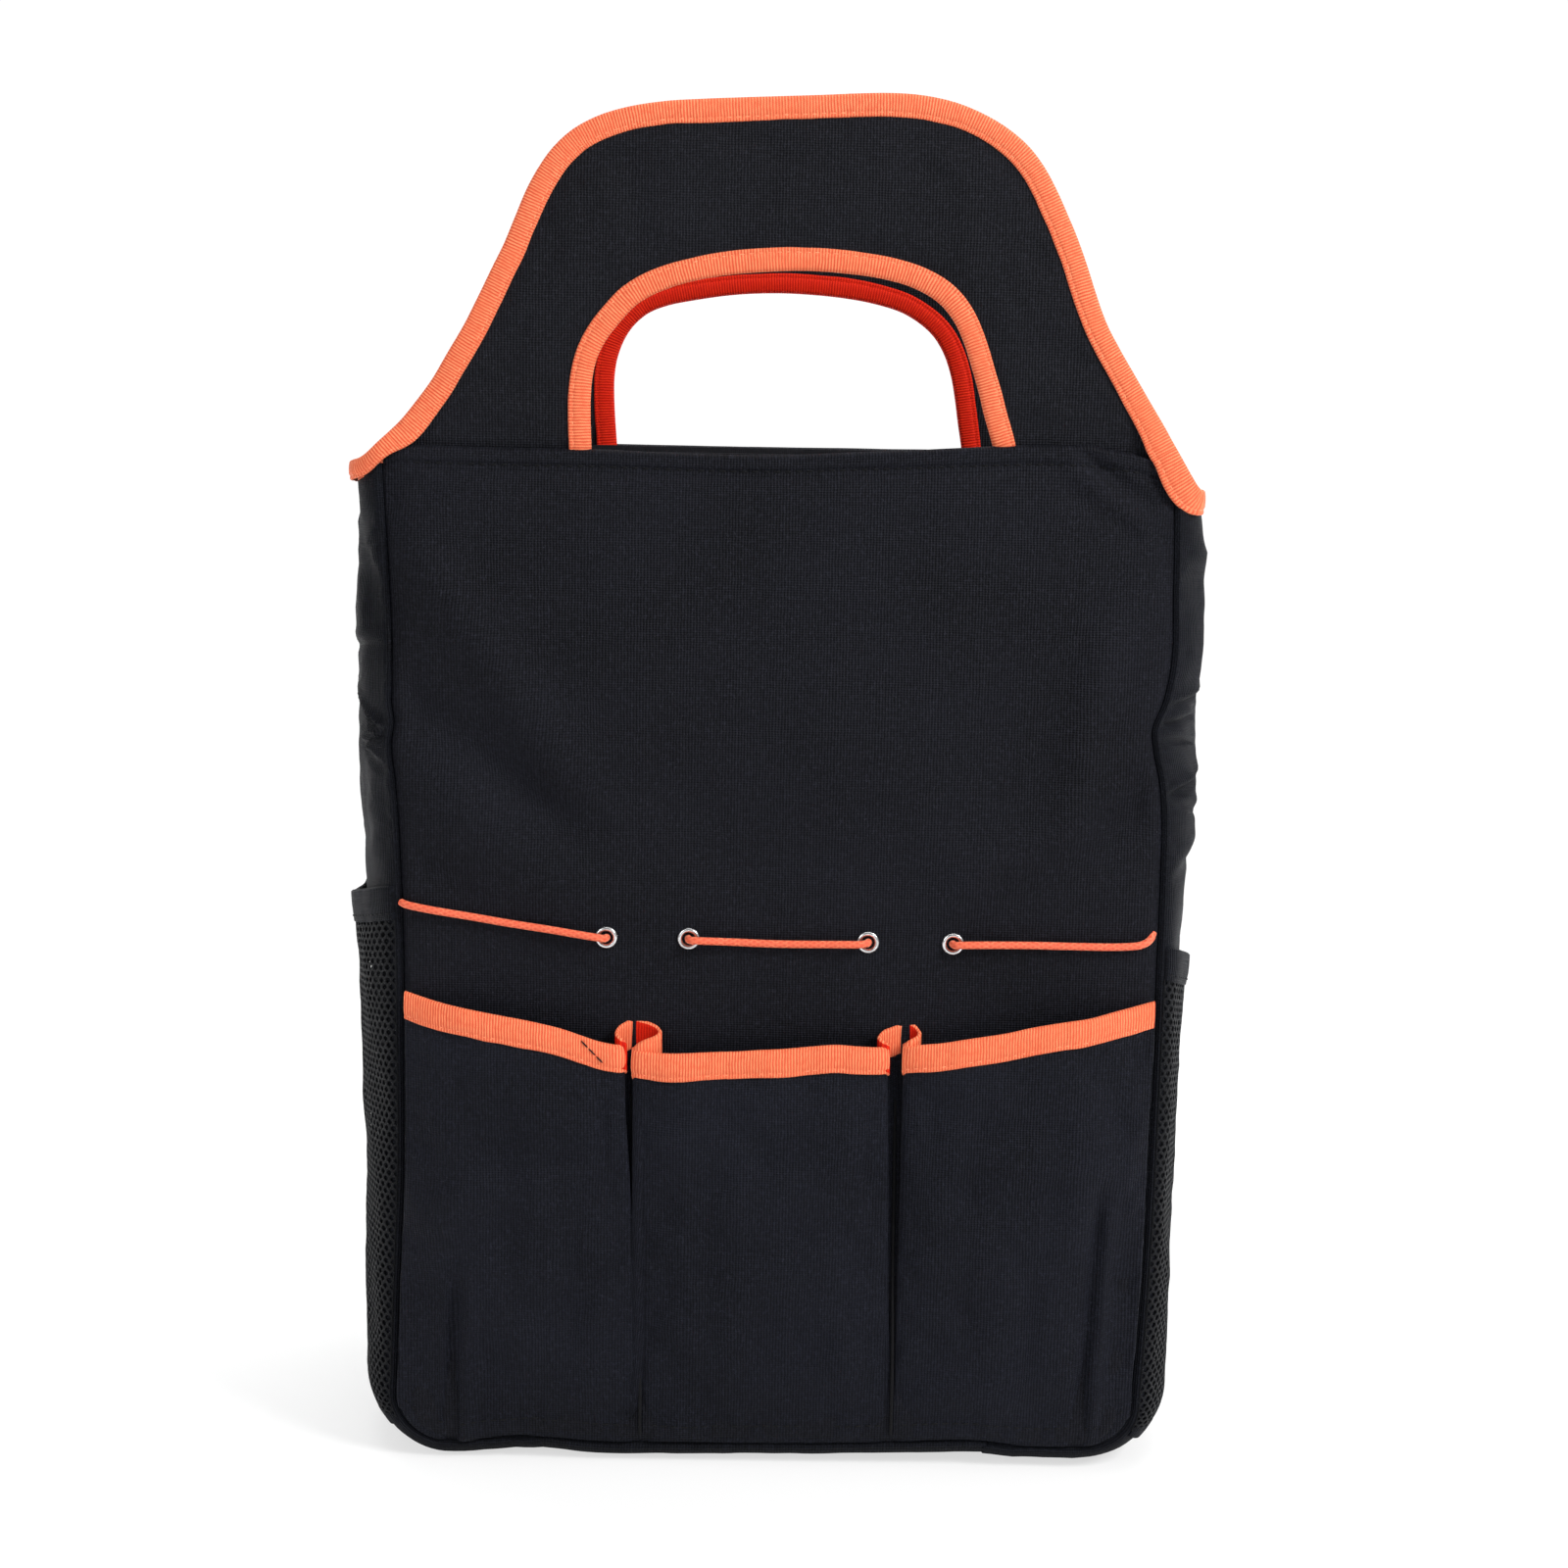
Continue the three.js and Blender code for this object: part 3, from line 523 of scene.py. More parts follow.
def stitch_part(
    path, normal, side, length=2.7, gap=1.3, radius=0.28, lift=0.05, mats=1, start=1.0
):
    """A row of thread stitches lying along a path on a surface with this normal."""
    s = arc(path)
    stitch_starts = np.arange(start, s[-1] - length, length + gap)
    sides = 6
    stations = np.array([0.0, 0.16, 0.5, 0.84, 1.0])  # along a stitch
    fatness = np.array([0.25, 0.85, 1.0, 0.85, 0.25])  # thread radius there
    angle = np.linspace(0, 2 * np.pi, sides, endpoint=False)
    at = stitch_starts[:, None] + stations[None] * length
    normal = np.broadcast_to(np.asarray(normal, float), path.shape)
    side = np.broadcast_to(np.asarray(side, float), path.shape)
    normal = unit(resample(at, s, normal))
    side = unit(resample(at, s, side))
    sink = (1 - fatness)[None, :, None] * radius * 1.3
    center = resample(at, s, path) + normal * (lift - sink)
    verts = center[:, :, None] + radius * fatness[None, :, None, None] * (
        np.cos(angle)[None, None, :, None] * normal[:, :, None]
        + 1.35 * np.sin(angle)[None, None, :, None] * side[:, :, None]
    )
    shape = (len(stitch_starts), len(stations), sides)
    index = np.arange(math.prod(shape)).reshape(shape)
    caps = [index[:, end, corners] for corners in ([0, 1, 2, 3], [0, 3, 4, 5]) for end in (0, -1)]
    return Part(
        verts=verts.reshape(-1, 3),
        quads=np.vstack([ring_quads(index[:, :-1], index[:, 1:])] + caps),
        uvs=uv_grid(at[:, :, None], np.linspace(0, 2, sides)[None, None]),
        mats=mats,
    )


def tape_section(width, thick, bulge):
    """Folded tape on an edge: u runs out of the edge, v from the outer face into the sheet."""
    us = np.sort(np.array([
        -width, -width + 0.25, -width + 0.7, -width + 1.2, -width + TAPE_ROW, -width + 2.3,
        -width * 0.6, -width * 0.35, -width * 0.12, 0.0,
    ]))
    f = (us + width) / width
    dip = 0.4 * bump(us, -width + TAPE_ROW, 0.5)
    top = -TAPE_T - bulge * np.sin(np.pi * f) ** 0.8 + dip
    top[0] = -0.1
    top[1] = -TAPE_T * 0.85
    outside = list(zip(us, top))
    radius = thick / 2 + TAPE_T
    for a in np.linspace(-np.pi / 2, np.pi / 2, 11)[1:-1]:
        outside.append((radius * np.cos(a) * 0.8, thick / 2 + radius * np.sin(a)))
    outside += list(zip(us[::-1], thick - top[::-1]))
    radius = thick / 2 + 0.08
    inside_us = (-width + 0.4, -width * 0.5, 0.0)
    inside = [(u, thick + 0.05) for u in inside_us]
    for a in np.linspace(np.pi / 2, -np.pi / 2, 5)[1:-1]:
        inside.append((radius * np.cos(a) * 0.55, thick / 2 + radius * np.sin(a)))
    inside += [(u, -0.05) for u in inside_us[::-1]]
    return np.array(outside + inside)


BACK_LEAF = slice(14, 30)  # faces of the section from mid fold over the tape's back leaf


def reach(thick):
    """How far a folded tape stands out past the line it is folded on."""
    return 0.8 * (np.asarray(thick) / 2 + TAPE_T)


def tape_parts(
    path, up, through, thick, width, seed, pucker=0.13, bulge=0.4, narrow=1.0, back_mat=0, thread=1
):
    """Folded edging tape and its two rows of stitches."""
    s = arc(path)
    thick = np.broadcast_to(np.asarray(thick, float), (len(path),))
    thin = tape_section(width, 0.0, bulge)
    full = tape_section(width, 1.0, bulge)
    section = thin[None] + thick[:, None, None] * (full - thin)[None]
    spread = 1 + 0.05 * value_noise(s, 0 * s, 24, seed) + 0.02 * value_noise(s, 0 * s, 7, seed + 3)
    spread = spread * narrow
    u = section[..., 0]
    section[..., 0] = np.where(u < 0, u * spread[:, None], u)
    # the free edges pucker between stitches and the fold is not quite even
    ripple = np.sin(2 * np.pi * s / 3.6 + value_noise(s, 0 * s, 15, seed + 5) * 2)
    ripple = pucker * ripple + 0.2 * value_noise(s, 0 * s, 9, seed + 7)
    ripple = np.abs(ripple)[:, None] * 0.8
    outer = thin[None, :, 1] < -0.2
    back = full[None, :, 1] > 1.2
    section[..., 1] += np.where(outer, -ripple, 0) + np.where(back, ripple, 0)
    mats = np.zeros(len(full), int)
    # back_mat may give the back leaf the darker tape as painted shade
    mats[BACK_LEAF] = back_mat
    tape = sweep_part(path, up, through, section, mats)
    parts = [tape._replace(uvs=uv_grid(s[:, None], arc(full)[None]))]
    row = path + up * ((-width + TAPE_ROW) * spread)[:, None]
    # depth of each row, the way it faces and where it starts
    for depth, normal, start in (
        (-TAPE_T - 0.02, -through, 1.0),
        (thick[:, None] + TAPE_T + 0.02, through, 2.2),
    ):
        parts.append(stitch_part(
            row + through * depth, normal, up,
            mats=thread, radius=0.2, lift=-0.02, length=2.2, gap=1.2, start=start,
        ))
    return parts


# ------------------------------------------------------------------ cloth simulation on a grid
CLOTH = {
    "quality": 6,
    "mass": 0.4,
    "tension_stiffness": 12.0,
    "compression_stiffness": 12.0,
    "shear_stiffness": 4.0,
    "bending_stiffness": 1.2,
    "tension_damping": 8.0,
    "compression_damping": 8.0,
    "shear_damping": 8.0,
    "air_damping": 2.0,
    "vertex_group_mass": "pin",
    "use_pressure": True,
}
SIM_SCALE = 10  # enlarged, so that the solver's tolerances are small against the sheet


def simulate(grid, pin, name, frames, shrink, pressure):
    """The grid after some frames of swelling and buckling, pinned where pin is 1."""
    quads = grid_quads(np.arange(pin.size).reshape(pin.shape))
    ob = build(name, Part(grid.reshape(-1, 3) * SIM_SCALE, quads))
    group = ob.vertex_groups.new(name="pin")
    weights = pin.reshape(-1)
    for i in np.nonzero(weights > 0.001)[0]:
        group.add([int(i)], float(weights[i]), "REPLACE")
    modifier = ob.modifiers.new("Cloth", "CLOTH")
    settings = modifier.settings
    for key, value in CLOTH.items():
        setattr(settings, key, value)
    settings.shrink_min = shrink
    settings.uniform_pressure_force = pressure
    settings.effector_weights.gravity = 0.0
    modifier.collision_settings.use_collision = False
    modifier.point_cache.frame_start = 1
    modifier.point_cache.frame_end = frames + 2
    scene = bpy.context.scene
    for f in range(1, frames + 1):
        scene.frame_set(f)
    evaluated = ob.evaluated_get(bpy.context.evaluated_depsgraph_get())
    co = np.zeros(grid.size, np.float32)
    evaluated.data.vertices.foreach_get("co", co)
    bpy.data.objects.remove(ob, do_unlink=True)
    scene.frame_set(1)
    return co.reshape(grid.shape).astype(float) / MM / SIM_SCALE


def upsample(values, rows, cols):
    """A coarse grid of displacements read at rows by cols points."""
    i = np.linspace(0, values.shape[0] - 1, rows)
    j = np.linspace(0, values.shape[1] - 1, cols)
    i0 = np.minimum(i.astype(int), values.shape[0] - 2)
    j0 = np.minimum(j.astype(int), values.shape[1] - 2)
    fi, fj = (i - i0)[:, None, None], (j - j0)[None, :, None]
    a, b = values[i0][:, j0], values[i0 + 1][:, j0]
    c, d = values[i0][:, j0 + 1], values[i0 + 1][:, j0 + 1]
    return a * (1 - fi) * (1 - fj) + b * fi * (1 - fj) + c * (1 - fi) * fj + d * fi * fj


def settle(grid, name, coarse, outward, cap, seed, hold=0.0, firm=True, **cloth):
    """Simulates a coarse copy of a grid, its border pinned, and carries the movement back.

    Each point moves at most cap. hold is 1 where the cloth is pinned besides the border; firm
    keeps held points from the carried movement too.
    """
    rows, cols, _ = grid.shape
    i = np.linspace(0, rows - 1, coarse[0]).round().astype(int)
    j = np.linspace(0, cols - 1, coarse[1]).round().astype(int)
    hold = np.broadcast_to(hold, (rows, cols))
    pin = hold[i][:, j].copy()
    pin[[0, -1]] = 1
    pin[:, [0, -1]] = 1
    free = 1 - pin[..., None]
    start = grid[i][:, j]
    normal = grid_normals(start)
    x, y, z = np.moveaxis(start, -1, 0)
    rough = 0.12 * value_noise(x + 2 * y, z, 14, seed)[..., None] * normal
    moved = simulate(start + rough * free, pin, name, **cloth) - start
    # a simulation that blew up leaves the cloth as it was
    if not np.isfinite(moved).all():
        return grid
    # the cloth swells away from the bag's middle
    normal = normal * np.sign((normal * outward).sum(-1, keepdims=True))
    out = (moved * normal).sum(-1, keepdims=True)
    if (out * free).mean() < 0:
        moved = moved - 2 * out * normal
    length = np.linalg.norm(moved, axis=-1, keepdims=True)
    moved = moved * np.minimum(1, cap / np.maximum(length, 1e-9)) * (1 - pin[..., None] * 0.999)
    moved = upsample(moved, rows, cols)
    if firm:
        moved = moved * (1 - hold)[..., None]
    return grid + moved


# ------------------------------------------------------------------ materials
class Shader:
    """Adds nodes to a node tree; every value may be a number, a colour or an output socket."""

    def __init__(self, tree):
        self.tree = tree

    def feed(self, node, values):
        for key, value in values.items():
            if isinstance(value, bpy.types.NodeSocket):
                self.tree.links.new(value, node.inputs[key])
            elif isinstance(value, tuple):
                node.inputs[key].default_value = (*value, 1.0)
            else:
                node.inputs[key].default_value = value

    def node(self, kind, values={}, **properties):
        node = self.tree.nodes.new("ShaderNode" + kind)
        for key, value in properties.items():
            setattr(node, key, value)
        self.feed(node, values)
        return node

    def surface(self, values):
        self.feed(self.tree.nodes["Principled BSDF"], values)

    def math(self, operation, *values, clamp=False):
        values = dict(enumerate(values))
        return self.node("Math", values, operation=operation, use_clamp=clamp).outputs[0]

    def add(self, a, b):
        return self.math("ADD", a, b)

    def multiply(self, a, by, clamp=False):
        return self.math("MULTIPLY", a, by, clamp=clamp)

    def linear(self, value, gain, offset, clamp=False):
        return self.math("ADD", self.multiply(value, gain), offset, clamp=clamp)

    def mix(self, factor, a, b):
        return self.node("Mix", {0: factor, 6: a, 7: b}, data_type="RGBA").outputs[2]

    def ramp(self, value, low, high):
        """0 to 1 as the value goes from low to high."""
        values = {"From Min": low, "From Max": high, "Value": value}
        return self.node("MapRange", values, clamp=True).outputs[0]

    def patches(self, value, low, high, amount):
        return self.multiply(self.ramp(value, low, high), by=amount)

    def uv(self):
        """The cloth's UVs in metres, whole and as u and v."""
        uv = self.node("UVMap", uv_map="cloth").outputs[0]
        parts = self.node("SeparateXYZ", {0: uv})
        return uv, parts.outputs[0], parts.outputs[1]

    def place(self):
        return self.node("TexCoord").outputs["Object"]

    def noise(self, vector, scale, detail=2.0, roughness=0.5):
        values = {"Scale": scale, "Detail": detail, "Roughness": roughness, "Vector": vector}
        return self.node("TexNoise", values).outputs[0]

    def wave(self, axis, pitch):
        """0 to 1 sine wave of pitch metres along a coordinate."""
        sine = self.math("SINE", self.multiply(axis, by=2 * math.pi / pitch))
        return self.linear(sine, gain=0.5, offset=0.5)

    def bump(self, height, strength, distance):
        values = {"Strength": strength, "Distance": distance, "Height": height}
        return self.node("Bump", values).outputs[0]


def new_material(name):
    material = bpy.data.materials.new(name)
    material.use_nodes = True
    return material, Shader(material.node_tree)


def scaled(color, factor):
    return tuple(c * factor for c in color)


def oxford(name, color, light, rib=0.00115, pick=0.0009, relief=0.96, sheen=0.012):
    """Coated oxford: vertical ribs crossed by finer picks, uneven yarn and a faint bloom."""
    material, s = new_material(name)
    uv, u, v = s.uv()
    place = s.place()
    wobble = s.multiply(s.noise(uv, scale=160.0, detail=1.0), by=0.0006)
    ribs = s.wave(s.add(u, wobble), pitch=rib)
    picks = s.wave(s.add(v, wobble), pitch=pick)
    weave = s.add(s.multiply(ribs, by=0.65), s.multiply(picks, by=0.35))
    grain = s.noise(uv, scale=900.0, roughness=0.6)
    cloud = s.noise(place, scale=14.0, detail=3.0, roughness=0.55)
    slub = s.noise(uv, scale=260.0, roughness=0.6)
    height = s.add(weave, s.multiply(slub, by=0.7))
    normal = s.bump(height, strength=relief, distance=0.00034)
    yarn = s.multiply(weave, s.linear(slub, gain=1.2, offset=0.4), clamp=True)
    base = s.mix(yarn, color, light)
    bloom = s.patches(cloud, low=0.35, high=0.7, amount=0.35)
    base = s.mix(bloom, base, scaled(light, 1.35))
    pits = s.patches(grain, low=0.46, high=0.70, amount=0.42)
    base = s.mix(pits, base, scaled(color, 0.6))
    fleck = s.noise(uv, scale=640.0, roughness=0.65)
    flecks = s.patches(fleck, low=0.52, high=0.70, amount=0.55)
    base = s.mix(flecks, base, scaled(light, 1.75))
    rough = s.linear(cloud, gain=0.16, offset=0.58)
    s.surface({
        "Base Color": base,
        "Normal": normal,
        "Roughness": s.add(rough, s.multiply(yarn, by=-0.08)),
        "Specular IOR Level": 0.08,
        "Sheen Weight": sheen,
        "Sheen Roughness": 0.45,
        "Sheen Tint": (0.7, 0.75, 0.9),
    })
    return material


def webbing(name, color, light, deep, sheen, relief=0.6, specular=0.28):
    """Grosgrain tape: cross ribs with painted highlight on their crowns and painted shade in the
    valleys.
    """
    material, s = new_material(name)
    uv, u, v = s.uv()
    place = s.place()
    wobble = s.multiply(s.noise(uv, scale=240.0, detail=1.0), by=0.0005)
    ribs = s.wave(s.add(u, wobble), pitch=0.0011)
    fine = s.wave(s.add(v, s.multiply(u, by=0.5)), pitch=0.0007)
    slub = s.noise(uv, scale=420.0, roughness=0.65)
    blotch = s.noise(place, scale=60.0, detail=3.0, roughness=0.6)
    coarse = s.multiply(ribs, by=0.8)
    height = s.add(coarse, s.add(s.multiply(fine, by=0.25), s.multiply(slub, by=0.6)))
    normal = s.bump(height, strength=relief, distance=0.0003)
    # painted shade: the deep colour sits in the rib valleys; painted highlight: the light colour on
    # the crowns
    base = s.mix(s.linear(ribs, gain=0.5, offset=0.35, clamp=True), deep, color)
    base = s.mix(s.ramp(s.multiply(ribs, slub), low=0.12, high=0.5), base, light)
    base = s.mix(s.patches(blotch, low=0.5, high=0.72, amount=0.45), base, color)
    base = s.mix(s.patches(slub, low=0.62, high=0.8, amount=0.35), base, deep)
    s.surface({
        "Base Color": base,
        "Normal": normal,
        "Roughness": s.linear(slub, gain=0.2, offset=0.6),
        "Specular IOR Level": specular,
        "Sheen Weight": sheen,
        "Sheen Roughness": 0.4,
        "Sheen Tint": (1.0, 0.72, 0.5),
    })
    return material


def braid(name, color, light, deep, turn=0.0032, around=0.0094):
    """Braided elastic cord: two crossing spirals of yarn; turn and around are metres."""
    material, s = new_material(name)
    uv, u, v = s.uv()
    slant = turn / around * 4
    spiral_1 = s.wave(s.add(u, s.multiply(v, by=slant)), pitch=turn)
    spiral_2 = s.wave(s.math("SUBTRACT", u, s.multiply(v, by=slant)), pitch=turn)
    strands = s.math("MAXIMUM", spiral_1, spiral_2)
    slub = s.noise(uv, scale=500.0, roughness=0.6)
    height = s.add(strands, s.multiply(slub, by=0.5))
    normal = s.bump(height, strength=0.4, distance=0.00025)
    base = s.mix(strands, deep, color)
    base = s.mix(s.ramp(s.multiply(strands, slub), low=0.35, high=0.7), base, light)
    s.surface({
        "Base Color": base,
        "Normal": normal,
        "Roughness": s.linear(slub, gain=0.2, offset=0.55),
        "Sheen Weight": 0.3,
        "Sheen Tint": (1.0, 0.7, 0.5),
    })
    return material


def thread(name, color, light, sheen):
    """Twisted thread or knit yarn."""
    material, s = new_material(name)
    place = s.place()
    twist = s.noise(place, scale=700.0, roughness=0.6)
    fade = s.noise(place, scale=40.0)
    base = s.mix(s.ramp(twist, low=0.35, high=0.7), color, light)
    s.surface({
        "Base Color": s.mix(s.multiply(fade, by=0.3), base, scaled(light, 1.5)),
        "Normal": s.bump(twist, strength=0.5, distance=0.0002),
        "Roughness": s.linear(twist, gain=0.2, offset=0.65),
        "Sheen Weight": sheen,
        "Specular IOR Level": 0.14,
    })
    return material


def plated(name):
    """Plated eyelet metal with faint tarnish and fine marks."""
    material, s = new_material(name)
    place = s.place()
    tarnish = s.noise(place, scale=260.0, detail=3.0, roughness=0.6)
    marks = s.noise(place, scale=1800.0)
    bright, dull = (0.72, 0.72, 0.73), (0.5, 0.49, 0.48)
    s.surface({
        "Base Color": s.mix(s.ramp(tarnish, low=0.4, high=0.75), bright, dull),
        "Metallic": 1.0,
        "Roughness": s.linear(tarnish, gain=0.3, offset=0.12),
        "Normal": s.bump(marks, strength=0.15, distance=0.0001),
    })
    return material


def board(name):
    """Stiff moulded board with a fine pebble."""
    material, s = new_material(name)
    pebble = s.noise(s.place(), scale=900.0, detail=3.0, roughness=0.6)
    s.surface({
        "Base Color": s.mix(pebble, (0.018, 0.018, 0.019), (0.035, 0.035, 0.037)),
        "Roughness": s.linear(pebble, gain=0.2, offset=0.45),
        "Normal": s.bump(pebble, strength=0.3, distance=0.0003),
    })
    return material


MAIN_CLOTH = oxford(
    "oxford_main", color=(0.0008, 0.0008, 0.0014), light=(0.0098, 0.0102, 0.0150),
)
HANDLE_CLOTH = oxford(
    "oxford_handle", color=(0.0012, 0.0012, 0.0018), light=(0.0104, 0.0108, 0.0150),
)
# Painted shade: the sides' oxford is a darker copy of the main cloth; it also covers the bottom, the
# net hems and the net's foot strip.
SIDE_CLOTH_SHADED = oxford(
    "oxford_gusset_shaded", color=(0.0006, 0.0007, 0.0012), light=(0.0064, 0.0072, 0.0112), sheen=0.0,
)
POCKET_CLOTH = oxford(
    "oxford_pocket", color=(0.0008, 0.0009, 0.0018), light=(0.0100, 0.0108, 0.0170),
)
LINING_CLOTH = oxford(
    "lining_cloth", color=(0.0030, 0.0030, 0.0040), light=(0.0085, 0.0085, 0.0110),
    rib=0.0008, pick=0.0008, relief=0.36,
)
TAPE = webbing(
    "edging_tape", color=(0.82, 0.150, 0.058), light=(0.90, 0.270, 0.122),
    deep=(0.60, 0.045, 0.014), sheen=0.10, relief=0.45,
)
# Painted shade: a darker, redder copy of the edging tape, laid on tape faces that lie in shade (the
# back hand hole's inner leaf and stitches, the pleats' inner faces).
SHADED_TAPE = webbing(
    "edging_tape_painted_shade", color=(0.62, 0.010, 0.001), light=(0.74, 0.026, 0.004),
    deep=(0.40, 0.003, 0.001), sheen=0.0, specular=0.12,
)
CORD = braid(
    "elastic_cord", color=(0.84, 0.125, 0.050), light=(0.92, 0.240, 0.110),
    deep=(0.66, 0.060, 0.022),
)
BLACK_THREAD = thread(
    "black_thread", color=(0.0022, 0.0022, 0.0028), light=(0.0060, 0.0060, 0.0075), sheen=0.02,
)
ORANGE_THREAD = thread(
    "orange_thread", color=(0.80, 0.145, 0.060), light=(0.93, 0.32, 0.16), sheen=0.3,
)
NET = thread(
    "knit_mesh", color=(0.0022, 0.0024, 0.0031), light=(0.0062, 0.0066, 0.0085), sheen=0.01,
)
SEAM_TAPE = webbing(
    "seam_tape", color=(0.004, 0.004, 0.005), light=(0.008, 0.008, 0.010),
    deep=(0.002, 0.002, 0.003), sheen=0.0, specular=0.10,
)
METAL = plated("eyelet_plated")
BOARD = board("base_board")


# ------------------------------------------------------------------ shapes shared by pieces
def side_bulge(y):
    return 18.6 * np.clip(1 - (np.abs(y) / BULGE_Y) ** 2.15, 0, 1) ** 0.47


def base_bulge(y):
    return SEAM_Z * np.clip(1 - (np.abs(y) / BULGE_Y) ** 9, 0, 1) ** 0.5


def foot_shift(x):
    return read_table(x, FOOT_SHIFT)


def gusset_top(y):
    return RIM_Z - 6.2 - 4.0 * (1 - (y / HALF_DEPTH) ** 2)


def side_top(mirror, y):
    """Top of a side's cloth, dragged down most at the front right corner."""
    y = np.asarray(y, float)
    if mirror > 0:
        dip = 6.4 * smooth((-y - 6) / 56) + 1.4 * bump(y, 0, 45)
    else:
        dip = 1.2 * smooth((-y - 50) / 20)
    return gusset_top(y) - dip


def half_width(z):
    """Half width of a panel at height z, round its bottom corners."""
    z = np.asarray(z, float)
    d = np.clip(CORNER_Z - z, 0, CORNER_R)
    return CORNER_X + np.sqrt(np.maximum(CORNER_R**2 - d**2, 0))


def seam_shift(mirror, z):
    """How far the front seam on one side has wandered from its drawn line, in X."""
    return read_table(z, FRONT_SEAM[mirror]) - mirror * SEAM_X


def panel_rows(top, count):
    """Heights of a panel's rows, closer together round the bottom corners."""
    a = np.linspace(0, np.pi / 2, 14)[:-1]
    low = CORNER_Z - CORNER_R * np.cos(a)
    low[0] = SEAM_Z + 0.02
    return np.concatenate([low, np.linspace(CORNER_Z, top, count)])


# ------------------------------------------------------------------ front and back walls
def wall_puff(x, z, sign):
    """How far a wall stands out of its flat plane: padding, folds and the drag of eyelets."""
    seed = 11 if sign < 0 else 47
    inset = np.minimum(half_width(z) - np.abs(x), z - SEAM_Z)
    roll = 2.0 * (1 - np.exp(-np.clip(inset, 0, None) / 5.0)) - 1.6
    soft = smooth(inset / 26.0)
    rise = 1.0 * np.sin(np.pi * np.clip((z - 200) / 200, 0, 1)) * np.cos(np.pi * x / 320)
    waves = soft * (
        0.55 * fractal(x, z * 0.45, 46, seed) + 0.22 * fractal(x * 0.5 + z * 0.35, z, 20, seed + 5)
    )
    pull = 0.0
    if sign < 0:
        for eyelet_x in EYELET_X:
            off = ((x - eyelet_x) / 9.0) ** 2 + ((z - EYELET_Z) / 8.0) ** 2
            pull = pull - 0.55 * np.exp(-off)
        pull = pull + smooth(inset / 10.0) * folds(x, z, WALL_FOLDS)
        pull = pull + smooth(inset / 3.0) * folds(x, z, RIM_FOLDS)
    hem = -0.6 * bump(z, HEM_Z, 0.9) + 0.3 * smooth((z - (RIM_Z - 6.8)) / 2)
    return roll + rise * soft + waves + pull + hem * smooth(inset / 3)


def wall(sign, name, *replaced):
    """One padded wall; returns its settled outer face."""
    hem_rows = np.linspace(RIM_Z - 8.6, RIM_Z - 1.2, 18)
    rows = np.concatenate([panel_rows(RIM_Z - 9, 150), hem_rows])
    # columns run finer near the seams
    across = np.linspace(-1, 1, 181)
    across = np.sign(across) * (1 - (1 - np.abs(across)) ** 1.12)
    z = np.repeat(rows[:, None], len(across), 1)
    across = across[None] + 0 * z
    half = half_width(z)
    half = np.where(z > 385, half - (z - 385) * 0.12, half)
    x = across * half
    y = HALF_DEPTH + wall_puff(x, z, sign)
    rise, low = 0.0, 0.0
    if sign < 0:
        shift = np.where(across < 0, seam_shift(-1, z), seam_shift(1, z))
        x = x + shift * np.abs(across) ** 3
        rise = read_table(x, FRONT_RIM_RISE)
        low = foot_shift(x) * np.exp(-(z - SEAM_Z) / 14.0)
    rim_line = 0.35 * fractal(x, z * 0, 60, 5) - 0.5 * np.cos(np.pi * x / 150) + rise
    grid = np.stack([x, sign * y, z + rim_line * smooth((z - 372) / 20) + low], -1)
    grid = settle(
        grid, "wall_cloth", coarse=(64, 58), outward=np.array([0, sign, 0.0]), cap=1.8,
        seed=21 + sign, hold=smooth((grid[..., 2] - 378) / 6), firm=False,
        frames=14, shrink=-0.005, pressure=0.25,
    )
    sheet = sheet_part(grid, 5.0, np.stack([x, z], -1), toward=(0, sign, 0), lip=0.22)
    # thread of the rim hem, laid on the settled cloth
    hem = grid[int(np.argmin(np.abs(rows - HEM_Z))), 8:-8]
    parts = [sheet, stitch_part(hem, (0, sign, 0), UP, radius=0.3, lift=0.1)]
    piece(name, parts, [MAIN_CLOTH, BLACK_THREAD], "oxford_black", *replaced)
    return grid


FRONT_FACE = wall(-1, "front_wall", "front_panel", "front_foam")
wall(1, "back_wall", "back_panel", "back_foam")


def wall_face(x, z):
    """y of the settled front wall's outer face nearest to a point."""
    d = (FRONT_FACE[..., 0] - x) ** 2 + (FRONT_FACE[..., 2] - z) ** 2
    return float(FRONT_FACE[..., 1].reshape(-1)[np.argmin(d)])


def lining(sign):
    rows, across = panel_rows(RIM_Z - 1.2, 70), np.linspace(-1, 1, 71)
    z = np.repeat(rows[:, None], len(across), 1)
    x = across[None] * (half_width(z) - 0.8)
    x = np.where(z > 384, x * (1 - (z - 384) * 0.0016), x)
    soft = smooth((half_width(z) - np.abs(x)) / 20)
    puff = soft * (0.9 + 1.1 * fractal(x, z * 0.5, 55, 77 + sign))
    grid = np.stack([x, sign * (HALF_DEPTH - 5.6 - puff), z], -1)
    sheet = sheet_part(grid, 0.8, np.stack([x, z], -1), toward=(0, -sign, 0))
    side = SIDE_NAME[sign]
    piece(f"{side}_lining_cloth", [sheet], [LINING_CLOTH], "lining_cloth", f"{side}_lining")


lining(-1)
lining(1)

# ------------------------------------------------------------------ sides and bottom
SEAM_STATIONS = np.array([75.0, 74.7, 74.2, 73.4, 72.2])
DEPTH_STATIONS = np.concatenate([
    -SEAM_STATIONS, np.linspace(-70.5, 70.5, 63), SEAM_STATIONS[::-1],
])


